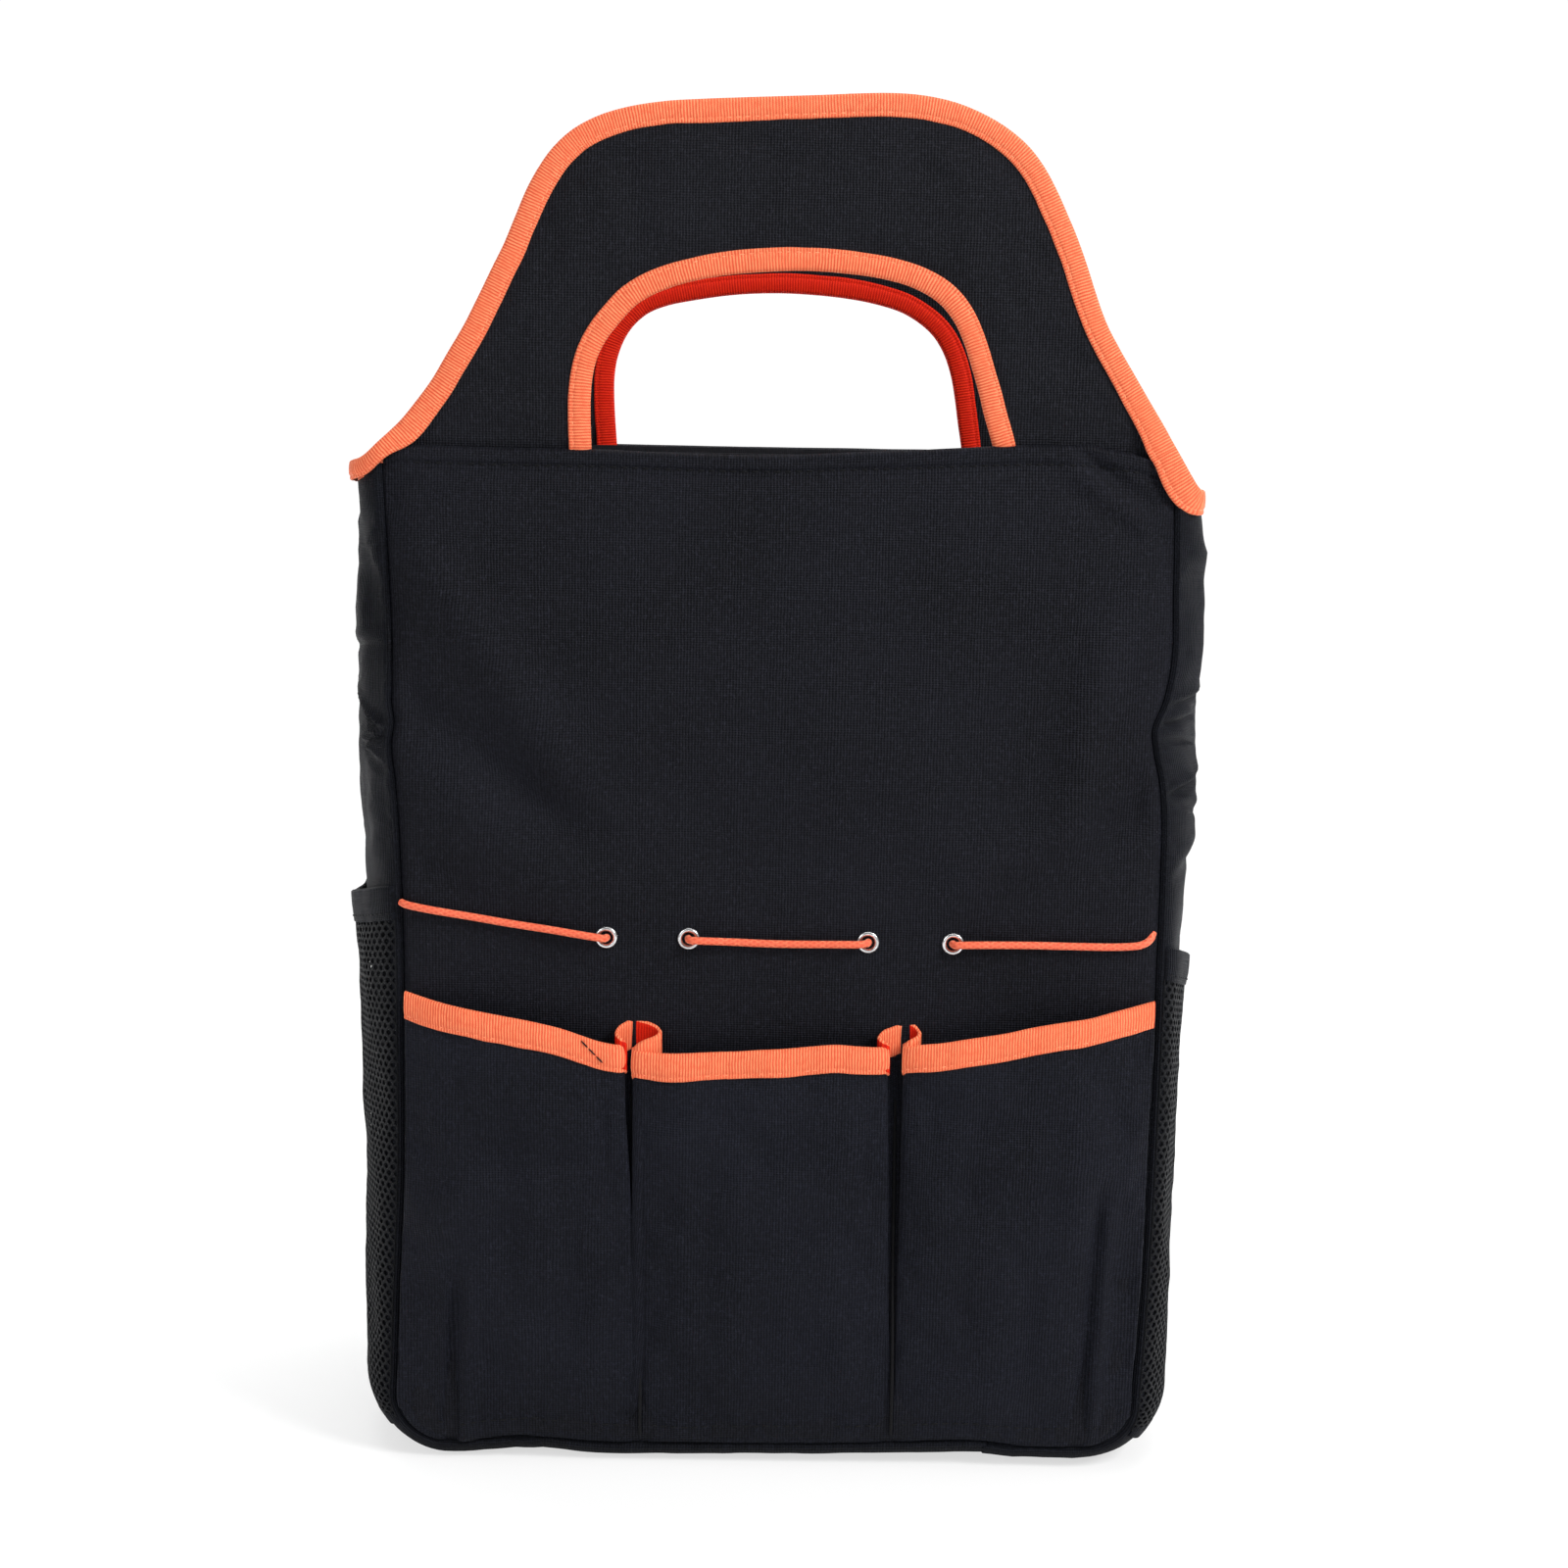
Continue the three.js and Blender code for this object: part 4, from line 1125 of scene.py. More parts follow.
def side_surface(mirror, y, z):
    """Distance of a side's outer surface from the centre plane, on its straight part."""
    edge = smooth((HALF_DEPTH - np.abs(y)) / 14)
    seed = 60 if mirror < 0 else 90
    waves = edge * (
        0.9 * fractal(y, z * 0.4, 34, seed) + 0.35 * fractal(y + z * 0.3, z, 14, seed + 9)
    )
    for fold_z, depth, half, slope, center_y, half_y in SIDE_FOLDS[mirror]:
        line = z - fold_z - slope * (y - center_y)
        fade = bump(y, center_y, half_y) * smooth((HALF_DEPTH - np.abs(y)) / 4)
        ridge = depth * 0.4 * fade * bump(line, half * 2.1, half * 1.2)
        waves = waves - depth * fade * bump(line, 0, half) + ridge
    lean = read_table(z, SIDE_LEAN[mirror]) * edge
    front = smooth((-y - 25) / 48) * seam_shift(mirror, z) * mirror
    return SEAM_X + side_bulge(y) + waves + lean + front


def turned_in(grid, away, edge):
    """Adds the allowance at both ends of each row, folded under the panel's edge."""
    away = np.asarray(away, float).reshape(-1, 1, 3)

    def tuck(border, depth, y):
        return border - away * (edge + depth) + np.array([0, y, 0])

    first, last = grid[:, :1], grid[:, -1:]
    return np.concatenate([
        tuck(first, 2.4, 3.2), tuck(first, 0.2, 2.6), grid,
        tuck(last, 0.2, -2.6), tuck(last, 2.4, -3.2),
    ], axis=1)


def gusset(mirror):
    """One side: down from the mouth, round the bottom corner and in to the bottom cloth."""
    y = DEPTH_STATIONS
    # share of the straight part's height, finest where it buckles
    heights = np.concatenate([
        np.linspace(1, 0.84, 34)[:-1], np.linspace(0.84, 0.58, 82)[:-1], np.linspace(0.58, 0, 64),
    ])
    upper = []
    for f in heights:
        z = CORNER_Z + f * (side_top(mirror, y) - CORNER_Z)
        upper.append(np.stack([mirror * side_surface(mirror, y, z), y, z], -1))
    upper = np.array(upper)
    below_top = side_top(mirror, upper[..., 1]) - 9 - upper[..., 2]
    hold = np.maximum(1 - smooth((upper[..., 2] - 226) / 25), 1 - smooth(below_top / 12))
    upper = settle(
        upper, "side_cloth", coarse=(90, 36), outward=np.array([mirror, 0, 0.0]), cap=1.6,
        seed=70 + mirror, hold=hold, frames=14, shrink=-0.012, pressure=0.2,
    )
    rows = list(upper)
    away = [(mirror, 0.0, 0.0)] * len(rows)
    for a in np.linspace(0, np.pi / 2, 16)[1:]:
        w = smooth(a / (np.pi / 2))
        straight = side_surface(mirror, y, CORNER_Z - CORNER_R * a) - SEAM_X
        out = straight * (1 - w) + base_bulge(y) * w
        arc_x = CORNER_X + CORNER_R * math.sin(math.pi / 2 - a)
        arc_z = CORNER_Z - CORNER_R * math.cos(math.pi / 2 - a)
        x = mirror * (arc_x + math.cos(a) * out)
        rows.append(np.stack([x, y, arc_z - math.sin(a) * out], -1))
        away.append((mirror * math.cos(a), 0.0, -math.sin(a)))
    for x in np.linspace(CORNER_X - 4, 86.2, 10):
        edge = smooth((np.abs(y) - 64) / 6)
        ripple = 0.6 * edge * value_noise(y * 0 + x * mirror, y * 0, 9, 141)
        pinch = 0.0
        if mirror < 0:
            pinch = -1.2 * bump(mirror * x, -97, 2.2) * smooth((-y - 66) / 6)
        rows.append(np.stack([
            np.full_like(y, mirror * x) - pinch * 0.5,
            y + pinch * -0.6,
            SEAM_Z - base_bulge(y) + ripple,
        ], -1))
        away.append((0.0, 0.0, -1.0))
    grid = turned_in(np.array(rows), away, side_bulge(75.0))
    front = smooth((-grid[..., 1] - 52) / 22)
    low = np.exp(-np.maximum(grid[..., 2] - 4, 0) / 14.0)
    grid[..., 2] += foot_shift(grid[..., 0]) * front * low
    grid[..., 2] = np.maximum(grid[..., 2], 0.0)
    uv = np.stack(np.meshgrid(arc(grid[0]), arc(grid[:, grid.shape[1] // 2])), -1)
    sheet = sheet_part(grid, 1.5, uv, toward=(mirror, 0, 0))
    hand = HAND_NAME[mirror]
    piece(f"{hand}_gusset_cloth", [sheet], [SIDE_CLOTH_SHADED], "oxford_black", f"side_gusset_{hand}")


gusset(-1)
gusset(1)


def bottom():
    y, x = np.meshgrid(DEPTH_STATIONS, np.linspace(-BOTTOM_X, BOTTOM_X, 60))
    edge = smooth((BOTTOM_X - np.abs(x)) / 3)
    z = SEAM_Z - base_bulge(y) + 0.35 * (1 - edge) * smooth((75 - np.abs(y)) / 20)
    ripple = smooth((np.abs(y) - 60) / 12) * 0.35 * fractal(x, y, 26, 140)
    z = z + ripple + foot_shift(x) * smooth((-y - 52) / 22)
    grid = np.stack([x, y, np.maximum(z, 0.0)], -1)
    grid = turned_in(grid, (0, 0, -1.0), base_bulge(75.0)).transpose(1, 0, 2)
    parts = [sheet_part(grid, 1.5, grid[..., :2], toward=(0, 0, -1))]
    # the two cross seams where the bottom meets the side strips
    y = np.linspace(-52, 70, 120)
    z = np.maximum(SEAM_Z - base_bulge(y) - 0.1, 0.15)
    for x in (-84.4, 84.4):
        path = np.stack([np.full_like(y, x), y, z], -1)
        parts.append(stitch_part(path, (0, 0, -1), (1, 0, 0), radius=0.25, lift=-0.05))
    piece("bottom_cloth", parts, [SIDE_CLOTH_SHADED, BLACK_THREAD], "oxford_black", "bottom_panel")


bottom()


def base_cover():
    """Cloth over the stiff board inside the bottom."""
    half_x, half_y = 114, 60
    x, y = np.meshgrid(np.linspace(-half_x, half_x, 90), np.linspace(-half_y, half_y, 50))
    inset = np.minimum(half_x - np.abs(x), half_y - np.abs(y))
    z = 2.3 + 3.6 * smooth(inset / 3.5) + 0.5 * fractal(x, y, 40, 150) * smooth(inset / 10)
    sheet = sheet_part(np.stack([x, y, z], -1), 0.7, np.stack([x, y], -1), toward=UP)
    piece("base_cover_cloth", [sheet], [LINING_CLOTH], "lining_cloth", "base_lining")


base_cover()
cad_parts["base_board"].data.materials.clear()
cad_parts["base_board"].data.materials.append(BOARD)


def seam_tape(sign):
    """Folded tape over the seam allowance inside the bag."""
    left, radius = -SEAM_X + 4.2, CORNER_R - 4
    outline = [(left, RIM_Z - 10)]
    for a in np.linspace(np.pi, 1.5 * np.pi, 9):
        x = left + radius + radius * math.cos(a)
        outline.append((x, SEAM_Z + 4 + radius + radius * math.sin(a)))
    outline = outline + [(-x, z) for x, z in outline[::-1]]
    curve = spline(outline, 3.0)
    path = from_xz(curve, sign * (HALF_DEPTH - 8.6))
    inward = from_xz(left_of(curve), 0)
    through = np.tile([0, -sign * 1.0, 0], (len(curve), 1))
    a = np.linspace(0, 2 * np.pi, 18, endpoint=False)
    section = np.stack([
        4.2 * np.sign(np.cos(a)) * np.abs(np.cos(a)) ** 0.7,
        1.35 * np.sign(np.sin(a)) * np.abs(np.sin(a)) ** 0.8,
    ], -1)
    s = arc(path)
    path = path + through * (0.5 * value_noise(s, 0 * s, 30, 160))[:, None]
    parts = [
        sweep_part(path, inward, through, section),
        stitch_part(path + inward * 2.2 + through * 1.2, through, inward, radius=0.25),
    ]
    side = SIDE_NAME[sign]
    materials = [SEAM_TAPE, BLACK_THREAD]
    piece(f"{side}_seam_tape", parts, materials, "seam_tape", f"{side}_seam_binding")


seam_tape(-1)
seam_tape(1)

# ------------------------------------------------------------------ handles and mouth edging
BACK_HALF_EDGE = np.array(HANDLE_EDGE)[:, ::-1]
BACK_EDGE = np.vstack([BACK_HALF_EDGE * [-1, 1], BACK_HALF_EDGE[:-1][::-1]])


def handle_y(x, z, sign):
    """Distance of a handle's inner face from the centre plane: it stands with a slight bow."""
    f = (z - RIM_Z) / 127
    seed = 200 if sign < 0 else 230
    bow = 0.9 * np.sin(np.pi * np.clip(f, 0, 1)) + 0.6 * fractal(x, z * 0.7, 70, seed) * smooth(f)
    return HALF_DEPTH - 3.5 + 1.4 * smooth((z - 396) / 40) + bow


def corner_points(mirror):
    """The edging round a front corner and back along the side's top edge."""
    lean = -1.2 if mirror > 0 else 1.8
    along = [
        (
            mirror * (SEAM_X + side_bulge(y) + 0.3 + lean * share),
            y,
            side_top(mirror, y) + 1.2,
        )
        for y, share in ((-47, 0.9), (-30, 1.0))
    ]
    return np.array(FRONT_CORNER[mirror] + along)


def edge_points(edge, sign):
    """A handle's edge on the outer face of its tape's fold."""
    x, z = edge.T
    y = handle_y(x, z, sign) + HANDLE_T / 2 + 2.0 * smooth((414 - z) / 16)
    return np.stack([x, sign * y, z], -1)


def mouth_loop():
    """The edging's fold line round the bag.

    Returns the path, the directions out of and into the cloth, its thickness and how much the
    tape's width is drawn in.
    """
    left, right = corner_points(-1), corner_points(1)
    to_back, to_left = [1, -1, 1], [-1, 1, 1]
    right_middle = [SEAM_X + 17.6, 0, side_top(1, 0) + 1.2]
    left_middle = [-SEAM_X - 20.7, 0, gusset_top(0) + 1.2]
    path = spline(np.vstack([
        edge_points(FRONT_EDGE[1:-1], -1),
        right, right_middle, (right[-2:] * to_back)[::-1], BACK_CORNER[::-1],
        edge_points(BACK_EDGE * [-1, 1], 1) if False else edge_points(BACK_EDGE[::-1], 1),
        BACK_CORNER * to_left, left[-2:] * to_back, left_middle, left[::-1],
    ]), 1.6, closed=True)
    x, y, z = path.T
    t = unit(np.roll(path, -1, 0) - np.roll(path, 1, 0))
    turned = smooth((HALF_DEPTH + 0.9 - np.abs(y)) / 8.0) * (z < 400)
    blend = turned[:, None]
    sign_x, sign_y = np.sign(x), np.sign(y)
    # out of the cloth in a handle's plane
    flat = unit(np.stack([t[:, 2] * sign_y, 0 * y, -t[:, 0] * sign_y], -1))
    side_up = np.stack([0.06 * sign_x, 0 * y, np.ones_like(y)], -1)
    up = unit(flat * (1 - blend) + side_up * blend)
    depths = np.linspace(-75, 75, 301)
    slope = np.clip(np.gradient(side_bulge(depths), depths), -2.5, 2.5)
    side_through = unit(np.stack([-sign_x, np.interp(y, depths, slope), 0 * y], -1))
    through = np.stack([0 * x, -sign_y, 0 * x], -1) * (1 - blend) + side_through * blend
    through = unit(through)
    up = unit(up - (up * t).sum(1, keepdims=True) * t)
    across = through - (through * t).sum(1, keepdims=True) * t
    through = unit(across - (through * up).sum(1, keepdims=True) * up)
    # at a handle's foot the fold takes in the wall's cloth as well
    foot = smooth((414 - z) / 16) * smooth((z - 394) / 7)
    thick = HANDLE_T + (1.9 - HANDLE_T) * turned + 2.2 * foot * (1 - turned)
    # the drawn line is the tape's outermost one in the handle's plane
    path = path - up * (reach(thick) * (1 - turned))[:, None]
    # the tape's width changes where it turns the corners
    narrow = (
        1 - 0.38 * bump(x, -151.0, 7.0) * (y < -55) + 0.34 * bump(x, 149.5, 7.0) * (y < -55)
        - 0.45 * bump(np.abs(x), 148.5, 5) * (y > 55)
    )
    return path, up, through, thick, narrow


LOOP = mouth_loop()


def bend_with_handle(ob):
    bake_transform(ob)


def loop_piece(name, first, last, replaced, body, seed):
    """The loop's edging from ring first to ring last."""
    count = len(LOOP[0])
    rings = np.arange(first, first + (last - first) % count + 1) % count
    path, up, through, thick, narrow = [values[rings] for values in LOOP]
    parts = tape_parts(path, up, through, thick, 6.9, seed=seed, narrow=narrow)
    return piece(name, parts, [TAPE, ORANGE_THREAD], "edging_orange", replaced, body=body)


def handle_grid(sign, outer, inner):
    """Outer face of a handle's cloth between its edge and its hand hole, and its thickness."""
    rows, cols, inset = 250, 30, 1.3
    outer = outer - left_of(outer) * inset
    inner = inner - left_of(inner) * -inset
    outer = np.vstack([[(-134, 384), (-139.5, 390)], outer[2:-2], [(139, 390), (134, 384)]])
    f = np.linspace(0, 1, rows)
    g = np.linspace(0, 1, cols)
    outer_s, inner_s = arc(outer), arc(inner)
    outer = resample(f * outer_s[-1], outer_s, outer)
    inner = resample(f * inner_s[-1], inner_s, inner)
    plan = outer[:, None] * (1 - g[None, :, None]) + inner[:, None] * g[None, :, None]
    x, z = plan[..., 0], plan[..., 1]
    width = np.linalg.norm(outer - inner, axis=1)[:, None]
    edge = np.minimum(g, 1 - g)[None] * width
    pad = 1.3 * (1 - np.exp(-np.clip(edge - 6.5, 0, None) / 3.2)) * smooth((z - 398) / 16)
    seed = 210 if sign < 0 else 240
    waves = smooth((edge - 6) / 9) * (
        0.45 * fractal(x, z, 30, seed) + 0.2 * fractal(x * 1.3 + z, z - x, 13, seed + 3)
    )
    thick = 1.6 + (1.5 + pad) * smooth((z - 389) / 8)
    y = sign * (handle_y(x, z, sign) + thick / 2 + waves * smooth((z - 396) / 10))
    grid = settle(
        np.stack([x, y, z], -1), "handle_cloth", coarse=(90, 30),
        outward=np.array([0, sign, 0.0]), cap=0.9, seed=seed,
        hold=1 - smooth((edge - 7.6) / 5.0) * smooth((z - 400) / 10),
        frames=12, shrink=-0.006, pressure=0.1,
    )
    return grid, thick, plan


def handle(sign):
    side = SIDE_NAME[sign]
    outer = spline(FRONT_EDGE if sign < 0 else BACK_EDGE, 2.0)
    inner = spline(FRONT_HOLE if sign < 0 else BACK_HOLE, 2.0)
    grid, thick, plan = handle_grid(sign, outer, inner)
    sheet = sheet_part(grid, thick, plan, toward=(0, sign, 0), lip=0.2)
    replaced = [f"{side}_handle_{layer}" for layer in ("panel", "foam", "lining")]
    cloth = piece(
        f"{side}_handle_cloth", [sheet], [HANDLE_CLOTH], "oxford_black", *replaced, body=None,
    )

    # edging of the hand hole
    curve = inner[inner[:, 1] > 385]
    up = from_xz(-left_of(curve), 0)
    y = sign * (handle_y(curve[:, 0], curve[:, 1], sign) + HANDLE_T / 2)
    path = from_xz(curve, y) - up * reach(HANDLE_T)
    through = np.tile([0, -sign, 0.0], (len(curve), 1))
    if sign < 0:
        parts = tape_parts(path, up, through, HANDLE_T, 6.3, seed=321)
        materials = [TAPE, ORANGE_THREAD]
    else:
        # painted shade: the back hole's inner leaf, facing the front, and both stitch rows take the
        # darker tape
        parts = tape_parts(path, up, through, HANDLE_T, 6.6, seed=320, back_mat=2, thread=2)
        materials = [TAPE, ORANGE_THREAD, SHADED_TAPE]
    hole = piece(
        f"{side}_handle_hole_tape", parts, materials, "edging_orange",
        f"{side}_handle_hole_binding", body=None,
    )
    bend_with_handle(cloth)
    bend_with_handle(hole)


def mouth_edging():
    """The loop's tape, cut at the handles' feet; it runs front, right, back, left."""
    path = LOOP[0]
    high = path[:, 2] > 395.4
    rises = np.nonzero(high & ~np.roll(high, 1))[0]
    falls = np.nonzero(high & ~np.roll(high, -1))[0]

    def on_side(rings, sign):
        return next(k for k in rings if path[k, 1] * sign > 0)

    starts = {sign: on_side(rises, sign) for sign in (-1, 1)}
    ends = {sign: on_side(falls, sign) for sign in (-1, 1)}
    for sign, seed in ((-1, 300), (1, 301)):
        name = f"{SIDE_NAME[sign]}_handle_edge"
        tape = loop_piece(
            f"{name}_tape", starts[sign], ends[sign], f"{name}_binding", None, seed,
        )
        bend_with_handle(tape)
    loop_piece("right_rim_tape", ends[-1], starts[1], "rim_binding_right", "shell", 302)
    loop_piece("left_rim_tape", ends[1], starts[-1], "rim_binding_left", "shell", 303)


handle(-1)
handle(1)
mouth_edging()


# ------------------------------------------------------------------ eyelets, washers and cord
def ring_part(profile, x, y):
    """A (radius, depth) profile turned about an eyelet's axis."""
    profile = np.asarray(profile, float)
    a = np.linspace(0, 2 * np.pi, 56, endpoint=False)
    count, sides = len(a), len(profile)
    verts = np.stack([
        x + profile[None, :, 0] * np.cos(a)[:, None],
        y + np.broadcast_to(profile[None, :, 1], (count, sides)),
        EYELET_Z + profile[None, :, 0] * np.sin(a)[:, None],
    ], -1).reshape(-1, 3)
    index = np.arange(count * sides).reshape(count, sides)
    quads = ring_quads(index, np.roll(index, -1, 0))
    return Part(verts, quads, uv_grid(a[:, None] * 4, np.arange(sides)[None] * 0.5))


def eyelet(number, x):
    """Rolled ring on the wall's face and a flat washer behind the wall."""
    roll = [
        (3.35 + 0.9 * math.cos(a), -0.15 - 0.95 * math.sin(a)) for a in np.linspace(np.pi, 0, 13)
    ]
    ring = [(2.45, 1.9)] + roll + [(4.15, 0.25), (3.4, 0.3), (3.0, 0.5), (2.9, 1.9)]
    face = wall_face(x + 3.0, EYELET_Z) - 0.1
    ring = ring_part(ring, x, face)
    piece(f"eyelet_ring_{number}", [ring], [METAL], "eyelet_metal", f"eyelet_{number}")
    washer = ring_part([(3.3, 0), (4.9, 0.05), (5.05, 0.25), (4.9, 0.5), (3.3, 0.55)], x, -73.9)
    piece(f"washer_ring_{number}", [washer], [METAL], "eyelet_metal", f"eyelet_washer_{number}")


for k, eyelet_x in enumerate(EYELET_X):
    eyelet(k + 1, eyelet_x)

E1, E2, E3, E4 = EYELET_X
CORD_Y = wall_face((E1 + E2) / 2, EYELET_Z) - 3.1


def lay(x, z):
    """A point of the cord lying on the wall."""
    return (x, wall_face(x, z) - 1.9, z)


def dive(x, away):
    """The cord's last points before (away -1) or first points after (1) it passes an eyelet."""
    points = [
        (x - away * 0.3, -74.6, EYELET_Z),
        (x + away * 0.6, CORD_Y + 1.0, EYELET_Z),
    ]
    return points[::away]


# the cord's runs over the front: x, y, z from left to right
CORD_RUNS = {
    "left": [
        (-140.4, -74.6, 222.2), (-138.6, -76.2, 221.8), lay(-129.9, 220.6), lay(-112, 217.8),
        lay(-99.3, 215.9), lay(-84, 213.9), (-73, CORD_Y, 212.4), (E1 - 3.4, CORD_Y, 211.4),
        *dive(E1, -1),
    ],
    "center": [
        *dive(E2, 1), (E2 + 3.4, CORD_Y, 210.9), lay(-16, 210.3), lay(0.5, 209.9),
        lay(18, 210.1), (E3 - 9, CORD_Y, 210.5), (E3 - 3.4, CORD_Y, 210.6), *dive(E3, -1),
    ],
    "right": [
        *dive(E4, 1), (E4 + 3.4, CORD_Y, 211.1), (E4 + 12, CORD_Y, 211.3), lay(98, 211.3),
        lay(116, 211.2), lay(131, 211.3), lay(138.4, 212.0), (142.0, -76.4, 213.6),
        (143.4, -74.4, 216.0),
    ],
}


def cord_run(name, points):
    """A run made as two halves, one from each end to the middle."""
    x0, x1 = points[0][0], points[-1][0]
    middle = (x0 + x1) / 2
    path = spline(points, 1.2)
    halves = (("a", x0, path[:, 0] <= middle + 0.6), ("b", x1, path[:, 0] >= middle - 0.6))
    for half, end, chosen in halves:
        part = tube_part(path[chosen], radius=1.42, step=1.2, sides=14)
        ob = piece(
            f"cord_{name}_{half}", [part], [CORD], "elastic_cord", f"cord_run_{name}", body=None,
        )
        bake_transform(ob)


def cord_behind(name, a, b):
    """The short run behind the wall between two eyelets."""
    points = [
        (a, -76.2, EYELET_Z), (a + 0.8, -73.2, EYELET_Z), (a + 5, -71.9, EYELET_Z),
        (b - 5, -71.9, EYELET_Z), (b - 0.8, -73.2, EYELET_Z), (b, -76.2, EYELET_Z),
    ]
    part = tube_part(points, radius=1.1, step=1.2, sides=10)
    piece(f"cord_behind_{name}", [part], [CORD], "elastic_cord", f"cord_inner_{name}")


for run, points in CORD_RUNS.items():
    cord_run(run, points)
cord_behind("left", E1, E2)
cord_behind("right", E3, E4)


# ------------------------------------------------------------------ front pockets
def stand_off(x, z, top):
    """How far a pocket stands off the wall."""
    edge = smooth((SEAM_X + 1.5 - np.abs(x)) / 30)
    f = np.clip((z - 13) / (top - 13), 0, 1.1)
    return 0.6 + (1.6 + 6.9 * edge) * f**0.75


def pocket_edges(name, z):
    """x of a pocket's two edges at a height: the slits between pockets narrow downwards."""
    ease = 0.5 + 0.2 * smooth((z - 30) / 60)
    if name == "left":
        return read_table(z, FRONT_SEAM[-1]) + 0.6, read_table(z, SLIT["left_end"]) - ease * 1.3
    if name == "center":
        start, end = read_table(z, SLIT["center_start"]), read_table(z, SLIT["center_end"])
        return start + ease, end - ease
    return read_table(z, SLIT["right_start"]) + ease, read_table(z, FRONT_SEAM[1]) - 0.6


def pocket_grid(name, seed):
    """Settled outer face of a pocket, and its x and z before settling."""
    rows, cols = 110, 96
    f = np.concatenate([np.linspace(0, 0.12, 14)[:-1], np.linspace(0.12, 1, rows - 13)])
    g = np.linspace(0, 1, cols)
    height = f[:, None] + 0 * g[None]
    start, end = pocket_edges(name, POCKET_FOOT_Z + f * 157.0)
    x = start[:, None] + g[None] * (end - start)[:, None]
    d = np.clip(np.abs(x) - CORNER_X, 0, CORNER_R - 1.2)
    top = read_table(x, MOUTH[name])
    floor = CORNER_Z - np.sqrt(np.maximum((CORNER_R - 0.4) ** 2 - d**2, 0))
    floor = floor + foot_shift(x)
    z = floor + height * (top - 0.8 - floor)
    from_left, from_right = (g * 95)[None], ((1 - g) * 95)[None]
    middle = smooth(np.minimum(from_left, from_right) / 22) * smooth(height / 0.12)
    waves = 0.75 * fractal(x, z * 0.35, 30, seed) + 0.3 * fractal(x, z, 13, seed + 4)
    waves = middle * waves * (1 - 0.45 * smooth((height - 0.85) / 0.12))
    belly = 1.5 * np.sin(np.pi * np.clip(height, 0, 1)) * middle
    # free edges roll back toward the pleat
    left_roll = float(name != "left") * np.exp(-from_left / 2.2)
    right_roll = float(name != "right") * np.exp(-from_right / 2.2)
    roll = -2.4 * (left_roll + right_roll) * (0.6 + 0.4 * height)
    foot = -1.5 * np.exp(-(z - z[0:1]) / 3.5)
    for crease_x, depth, half, z0, z1 in POCKET_CREASES[name]:
        line = x - crease_x - 2.0 * np.sin(z / 40.0 + crease_x)
        fade = smooth((z - z0) / 20) * smooth((z1 - z) / 20)
        ridge = depth * 0.6 * fade * bump(line, half * 2.4, half * 1.3)
        waves = waves - depth * fade * bump(line, 0, half) + ridge
    y = -(HALF_DEPTH + 1.2 + stand_off(x, z, top) + waves + belly + roll + foot)
    grid = settle(
        np.stack([x, y, z], -1), f"pocket_cloth_{name}", coarse=(54, 38),
        outward=np.array(FRONT), cap=2.2, seed=seed, frames=14, shrink=-0.008, pressure=0.12,
    )
    return grid, x, z


def slip_stitches(path):
    """Slanting stitches over the left pocket's tape."""
    ends = np.array([(-71.4, 0, 173.2), (-62.2, 0, 163.6)])
    slip = resample(np.linspace(0, 1, 14), [0, 1], ends)
    slip[:, 1] = [path[np.argmin(np.abs(path[:, 0] - x)), 1] - 1.35 for x in slip[:, 0]]
    return stitch_part(
        slip, FRONT, (0.72, 0, 0.69),
        mats=2, radius=0.24, lift=0.0, length=3.6, gap=0.5, start=0.2,
    )


def pocket(name, seed):
    """A pocket and the edging of its mouth; returns its outer face."""
    grid, x, z = pocket_grid(name, seed)
    sheet = sheet_part(grid, 1.1, np.stack([x, z], -1), toward=FRONT)
    foot = stitch_part(grid[5, 2:-2], FRONT, UP, radius=0.26, lift=0.1)
    cloth = piece(
        f"pocket_{name}_cloth", [sheet, foot], [POCKET_CLOTH, BLACK_THREAD], "pocket_cloth",
        f"pocket_panel_{name}", body=None,
    )
    up = unit(grid[-1] - grid[-9])
    path = spline(grid[-1], 1.6)
    up = resample(np.linspace(0, 1, len(path)), np.linspace(0, 1, len(up)), up)
    # the cut ends stay plumb
    up = unit(up * np.array([0.25, 1, 1]))
    through = unit(np.cross(up, tangents(path)))
    parts = tape_parts(
        path - up * 0.4, up, through, 1.1, 9.6, seed=seed + 50, pucker=0.3, bulge=0.5,
    )
    materials = [TAPE, ORANGE_THREAD]
    if name == "left":
        parts.append(slip_stitches(path))
        materials.append(BLACK_THREAD)
    tape = piece(
        f"pocket_{name}_tape", parts, materials, "edging_orange", f"pocket_binding_{name}",
        body=None,
    )
    for ob in (cloth, tape):
        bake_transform(ob)
    return grid


POCKET_SEEDS = {"left": 400, "center": 430, "right": 460}
POCKET_FACES = {name: pocket(name, seed) for name, seed in POCKET_SEEDS.items()}


def divider_seam_and_slit_shade(name, left_edge, right_edge, shift):
    """The seam that divides the pocket row, sunk between two pockets; its black cord also stands in
    for the shade down the slit, as painted shade.
    """
    z = np.linspace(POCKET_FOOT_Z, DIVIDER_TOP_Z, 60)
    x = (read_table(z, SLIT[left_edge]) + read_table(z, SLIT[right_edge])) / 2 + shift
    y = np.array([wall_face(*at) for at in zip(x, z)]) - 0.5
    path = np.stack([x, y, z + foot_shift(x) * np.exp(-(z - 12) / 14)], -1)
    seam = tube_part(path, radius=0.62, step=1.5, sides=10)
    piece(f"divider_seam_and_slit_shade_{name}", [seam], [BLACK_THREAD], "pocket_cloth")


divider_seam_and_slit_shade("left", "left_end", "center_start", shift=-0.1)
divider_seam_and_slit_shade("right", "center_end", "right_start", shift=0.0)


